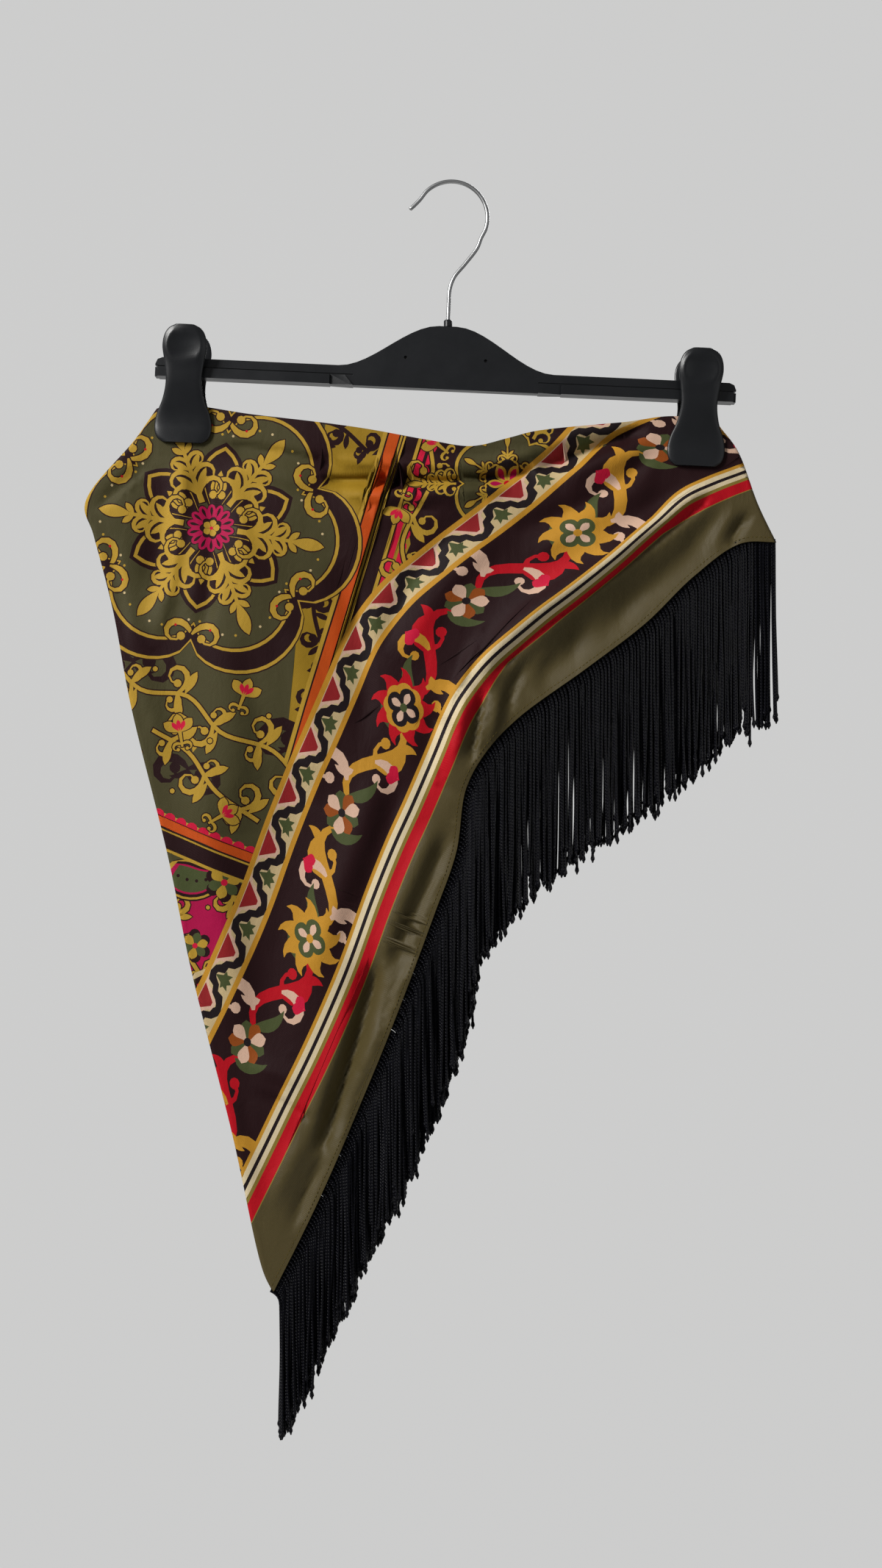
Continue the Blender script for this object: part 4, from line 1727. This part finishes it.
# ------------------------------------------------------------------ the hanger
@dataclass
class Hanger:
    """The moulded bar with its two clips, and the wire hook."""

    form: ClothForm
    finishes: Finishes
    nodes: dict[str, bpy.types.Object]
    plate_thick: float = 3.5
    wire_radius: float = 1.45
    hook_bend: float = 26.2
    hook_x: float = -0.5
    PROFILE: tuple[tuple[float, float, float], ...] = (
        (-10, 7, 15), (-12.5, 11.6, 14.8), (-17, 14.6, 14.4), (-25, 16, 13.6), (-36, 14.4, 12.2),
        (-50, 13, 10.5),
        (-62, 15.2, 7.6), (-72, 19.2, 4.9), (-79, 20.7, 3.9), (-85, 20.4, 3.9), (-89.5, 18.6, 3.9),
        (-92.5, 14.5, 3.9))

    def build(self) -> list[bpy.types.Object]:
        """Builds every piece of the hanger."""
        pieces = [self.softened("hanger_bar", 0.9), self.softened("hook_ferrule", 0.3)]
        for index, side in enumerate(("left", "right")):
            pieces.append(self.softened(f"clip_{side}_saddle", 0.6))
            for name, sign in (("front", -1.0), ("back", 1.0)):
                pieces.append(self.plate(f"clip_{side}_{name}", self.form.clip_places[index].real, sign))
        pieces.append(self.hook())
        return pieces

    def dress(self, obj: bpy.types.Object, node: str, material: bpy.types.Material) -> bpy.types.Object:
        """Gives a piece its finish and puts it in the place of its node."""
        obj.data.materials.clear()
        obj.data.materials.append(material)
        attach(obj, "root")
        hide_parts(node)
        return obj

    def softened(self, node: str, width: float) -> bpy.types.Object:
        """A copy of a node's solid with its edges rounded."""
        mesh = self.nodes[node].data.copy()
        obj = bpy.data.objects.new(f"{node}_moulded", mesh)
        bpy.context.scene.collection.objects.link(obj)
        work = bmesh.new()
        work.from_mesh(mesh)
        bmesh.ops.remove_doubles(work, verts=work.verts, dist=1e-6)
        bmesh.ops.dissolve_limit(work, angle_limit=math.radians(0.6), verts=work.verts, edges=work.edges)
        work.to_mesh(mesh)
        work.free()
        if node == "hanger_bar":
            self.groove(obj)
        bevel = obj.modifiers.new("round", "BEVEL")
        bevel.width = width * MM
        bevel.segments = 2
        bevel.limit_method = "ANGLE"
        bevel.angle_limit = math.radians(35)
        shade_smooth(obj, 32)
        even = obj.modifiers.new("even", "WEIGHTED_NORMAL")
        even.keep_sharp = True
        apply_modifiers(obj)
        return self.dress(obj, node, self.finishes.plastic)

    def groove(self, bar: bpy.types.Object) -> None:
        """Cuts the parting grooves over both rails and round the end stops, and slants the rails' inner ends."""
        work = bmesh.new()
        cuts = []
        for side in (-1, 1):
            for face in (-1, 1):
                cuts.append(((side * 138.5, face * 5.0, -37.9), (143.0, 3.2, 0.9), 0.0))
                cuts.append(((side * 69.0, face * 8.4, -42.0), (30.0, 4.6, 7.6), -side * face * 9.0))
            cuts.append(((side * 210.0, 0.0, -38.2), (3.0, 16.0, 1.3), 0.0))
        for place, size, turn in cuts:
            box = bmesh.ops.create_cube(work, size=1.0)["verts"]
            bmesh.ops.scale(work, vec=size, verts=box)
            bmesh.ops.rotate(work, cent=(0, 0, 0), matrix=Matrix.Rotation(math.radians(turn), 3, "Z"),
                             verts=box)
            bmesh.ops.translate(work, vec=place, verts=box)
        hump = Matrix.Translation((self.form.hump.real, 0, self.form.hump.imag))
        bmesh.ops.transform(work,
                            matrix=Matrix.Scale(MM, 4) @ hump @ Matrix.Rotation(self.form.tilt, 4, "Y"),
                            verts=work.verts)
        mesh = bpy.data.meshes.new("groove_cuts")
        work.to_mesh(mesh)
        work.free()
        cutter = bpy.data.objects.new("groove_cuts", mesh)
        bpy.context.scene.collection.objects.link(cutter)
        cut = bar.modifiers.new("groove", "BOOLEAN")
        cut.operation = "DIFFERENCE"
        cut.solver = "EXACT"
        cut.use_self = True
        cut.object = cutter
        apply_modifiers(bar)
        bpy.data.objects.remove(cutter)

    def plate(self, node: str, clip_x: float, sign: float) -> bpy.types.Object:
        """One plate of a clip: a waisted tab with rounded rims and a shallow thumb dip."""
        rows = np.array(self.PROFILE)
        share = np.linspace(0, 1, len(rows))
        fine = np.linspace(0, 1, 64)
        z = np.interp(fine, share, rows[:, 0])
        half_line = smooth_run([(a, b) for a, b in rows[:, :2]], 1.2)
        off_line = smooth_run([(a, b) for a, b in rows[:, [0, 2]]], 1.2)
        order = np.argsort(half_line.real)
        half = np.interp(z, half_line.real[order], half_line.imag[order])
        order = np.argsort(off_line.real)
        off = np.interp(z, off_line.real[order], off_line.imag[order])
        angles = 2 * np.pi * np.arange(48) / 48
        rings = []
        for a, h, o in zip(z, half, off):
            wide = np.sign(np.cos(angles)) * np.abs(np.cos(angles)) ** 0.28
            deep = np.sign(np.sin(angles)) * np.abs(np.sin(angles)) ** 0.55
            across = wide * h
            near = np.hypot(across, a + 25) / 12.5
            rim = 0.7 * np.exp(-(((near - 1.0) / 0.13) ** 2))
            dip = 1.5 * (1 - smooth((near - 0.3) / 0.62))
            face = np.where(deep > 0.2, rim - dip, 0.0)
            crown = 0.8 * (np.abs(wide) ** 4) * (deep > 0)
            y = o + deep * self.plate_thick / 2 + face - crown
            spots = self.form.hump + (clip_x + across + 1j * a) * np.exp(-1j * self.form.tilt)
            rings.append(np.stack([spots.real, sign * y, spots.imag], axis=1))
        points, faces = closed_loft(rings)
        obj = make_object(f"{node}_moulded", points, faces)
        outward(obj)
        shade_smooth(obj, 60)
        return self.dress(obj, node, self.finishes.plastic)

    def hook(self) -> bpy.types.Object:
        """The wire hook: round bend, S-shaped neck and straight stem, with a rounded tip."""
        centre = complex(self.hook_x, self.wire_radius - self.hook_bend)
        rows: list[tuple[float, float]] = [(-30.3, -18.6), (-27, -15.6)]
        for degrees in np.arange(150, -35.1, -18.5):
            spot = centre + self.hook_bend * toward(degrees)
            rows.append((spot.real, spot.imag))
        rows += [(18.2, -46.8), (9.2, -58.6), (1.6, -67.8), (-1.6, -76.5), (-2.4, -88), (-2.9, -99.3)]
        line = smooth_run(rows, 1.3)
        widths = np.full(len(line), self.wire_radius)
        cap = np.array([0.25, 0.75, 0.97]) * self.wire_radius
        start = line[0] + (line[0] - line[1]) / abs(line[0] - line[1]) * np.array([0.5, 0.2])
        line = np.concatenate([start, line])
        widths = np.concatenate([cap[:2], widths])
        widths[2] = cap[2]
        obj = make_threads("hook_wire_steel",
                           [np.stack([line.real, np.zeros(len(line)), line.imag], axis=1)], [widths])
        cord_tree("draw_wire", 20, self.finishes.steel).grow(obj)
        return self.dress(obj, "hook_wire", self.finishes.steel)


def closed_loft(rings: Sequence[np.ndarray]) -> tuple[np.ndarray, list[tuple[int, ...]]]:
    """Points and faces of a body through rings of equal length, closed at both ends."""
    count = len(rings[0])
    faces: list[tuple[int, ...]] = []
    for r in range(len(rings) - 1):
        for i in range(count):
            j = (i + 1) % count
            faces.append((r * count + i, r * count + j, (r + 1) * count + j, (r + 1) * count + i))
    last = (len(rings) - 1) * count
    faces.append(tuple(reversed(range(count))))
    faces.append(tuple(last + i for i in range(count)))
    return np.concatenate(rings), faces


def outward(obj: bpy.types.Object) -> None:
    """Turns a closed mesh's faces outwards."""
    work = bmesh.new()
    work.from_mesh(obj.data)
    bmesh.ops.recalc_face_normals(work, faces=work.faces)
    work.to_mesh(obj.data)
    work.free()


# ------------------------------------------------------------------ the studio
@dataclass
class Studio:
    """A pale wall far behind, a small floor far below, dim air, two soft lights and the camera."""

    floor_z: float = -1.6
    floor_radius: float = 1.15
    wall_y: float = 3.3
    wall_half: tuple[float, float] = (4.2, 3.6)
    wall_glow: float = 0.6
    camera_place: tuple[float, float, float] = (-0.008, -1.30, -0.435)
    lens: float = 41.2
    air: float = 0.20

    def build(self) -> None:
        """Builds the floor, the lights, the world and the camera."""
        self.floor()
        self.wall()
        self.light("window", (-2.0, -1.7, 1.1), (0.8, 1.2), 116.0, (1.0, 0.99, 0.97))
        self.light("bounce", (2.3, -2.2, -0.2), (1.8, 1.8), 5.0, (0.95, 0.97, 1.0))
        self.light("rear", (1.2, 2.4, 1.3), (1.2, 1.2), 45.0, (1.0, 1.0, 1.0))
        world = bpy.data.worlds.new("studio_air")
        world.use_nodes = True
        world.node_tree.nodes["Background"].inputs["Color"].default_value = (1.0, 1.0, 0.995, 1.0)
        world.node_tree.nodes["Background"].inputs["Strength"].default_value = self.air
        bpy.context.scene.world = world
        bpy.context.scene.view_settings.view_transform = "Standard"
        data = bpy.data.cameras.new("camera")
        data.lens = self.lens
        data.sensor_width = 36.0
        data.clip_start = 0.05
        camera = bpy.data.objects.new("camera", data)
        camera.location = self.camera_place
        camera.rotation_euler = (math.radians(90), 0.0, 0.0)
        bpy.context.scene.collection.objects.link(camera)
        bpy.context.scene.camera = camera

    def light(self, name: str, place: tuple[float, float, float], size: tuple[float, float], power: float,
              colour: tuple[float, float, float]) -> None:
        """A soft rectangular light aimed at the middle of the part."""
        data = bpy.data.lights.new(name, "AREA")
        data.shape = "RECTANGLE"
        data.size, data.size_y = size
        data.energy = power
        data.color = colour
        lamp = bpy.data.objects.new(name, data)
        lamp.location = place
        lamp.visible_camera = False
        aim = Vector((0.0, 0.0, -0.45)) - Vector(place)
        lamp.rotation_euler = aim.to_track_quat("-Z", "Y").to_euler()
        bpy.context.scene.collection.objects.link(lamp)

    def wall(self) -> None:
        """A plain wall that gives off the light of a pale room."""
        wide, tall = self.wall_half
        corners = [(x / MM, self.wall_y / MM, z / MM) for x,
                   z in ((-wide, -tall), (wide, -tall), (wide, tall), (-wide, tall))]
        wall = make_object("studio_wall", np.array(corners), [(0, 1, 2, 3)])
        material = bpy.data.materials.new("pale_wall")
        material.use_nodes = True
        shader = material.node_tree.nodes["Principled BSDF"]
        shader.inputs["Base Color"].default_value = (0.02, 0.02, 0.02, 1.0)
        shader.inputs["Roughness"].default_value = 1.0
        shader.inputs["Specular IOR Level"].default_value = 0.0
        shader.inputs["Emission Color"].default_value = (1.0, 1.0, 0.995, 1.0)
        shader.inputs["Emission Strength"].default_value = self.wall_glow
        wall.data.materials.append(material)

    def floor(self) -> None:
        """A round pale floor, below the view."""
        around = 64
        rim = ring(self.floor_radius / MM, around)
        points = np.stack([rim.real, rim.imag, np.full(around, self.floor_z / MM)], axis=1)
        floor = make_object("studio_floor", points, [list(range(around))])
        material = bpy.data.materials.new("pale_floor")
        material.use_nodes = True
        material.node_tree.nodes["Principled BSDF"].inputs["Base Color"].default_value = (0.7, 0.7, 0.69, 1.0)
        material.node_tree.nodes["Principled BSDF"].inputs["Roughness"].default_value = 0.9
        floor.data.materials.append(material)


def main() -> None:
    """Builds every sub-assembly round the frame and notes both boxes."""
    logging.basicConfig(level=logging.INFO, format="%(name)s: %(message)s")
    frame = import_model()
    finishes = Finishes()
    form = ClothForm()
    Studio().build()
    front, back, flap = SilkSquare(form, finishes).build()
    fringe = Fringe(form, finishes).build()
    stitches = HemStitches(form, finishes).build()
    hanger = Hanger(form, finishes, frame["nodes"]).build()
    for piece in [front, back, flap, *fringe, stitches, *hanger]:
        LOG.info("%s: %d faces", piece.name, len(piece.data.polygons))


if __name__ == "__main__":
    main()
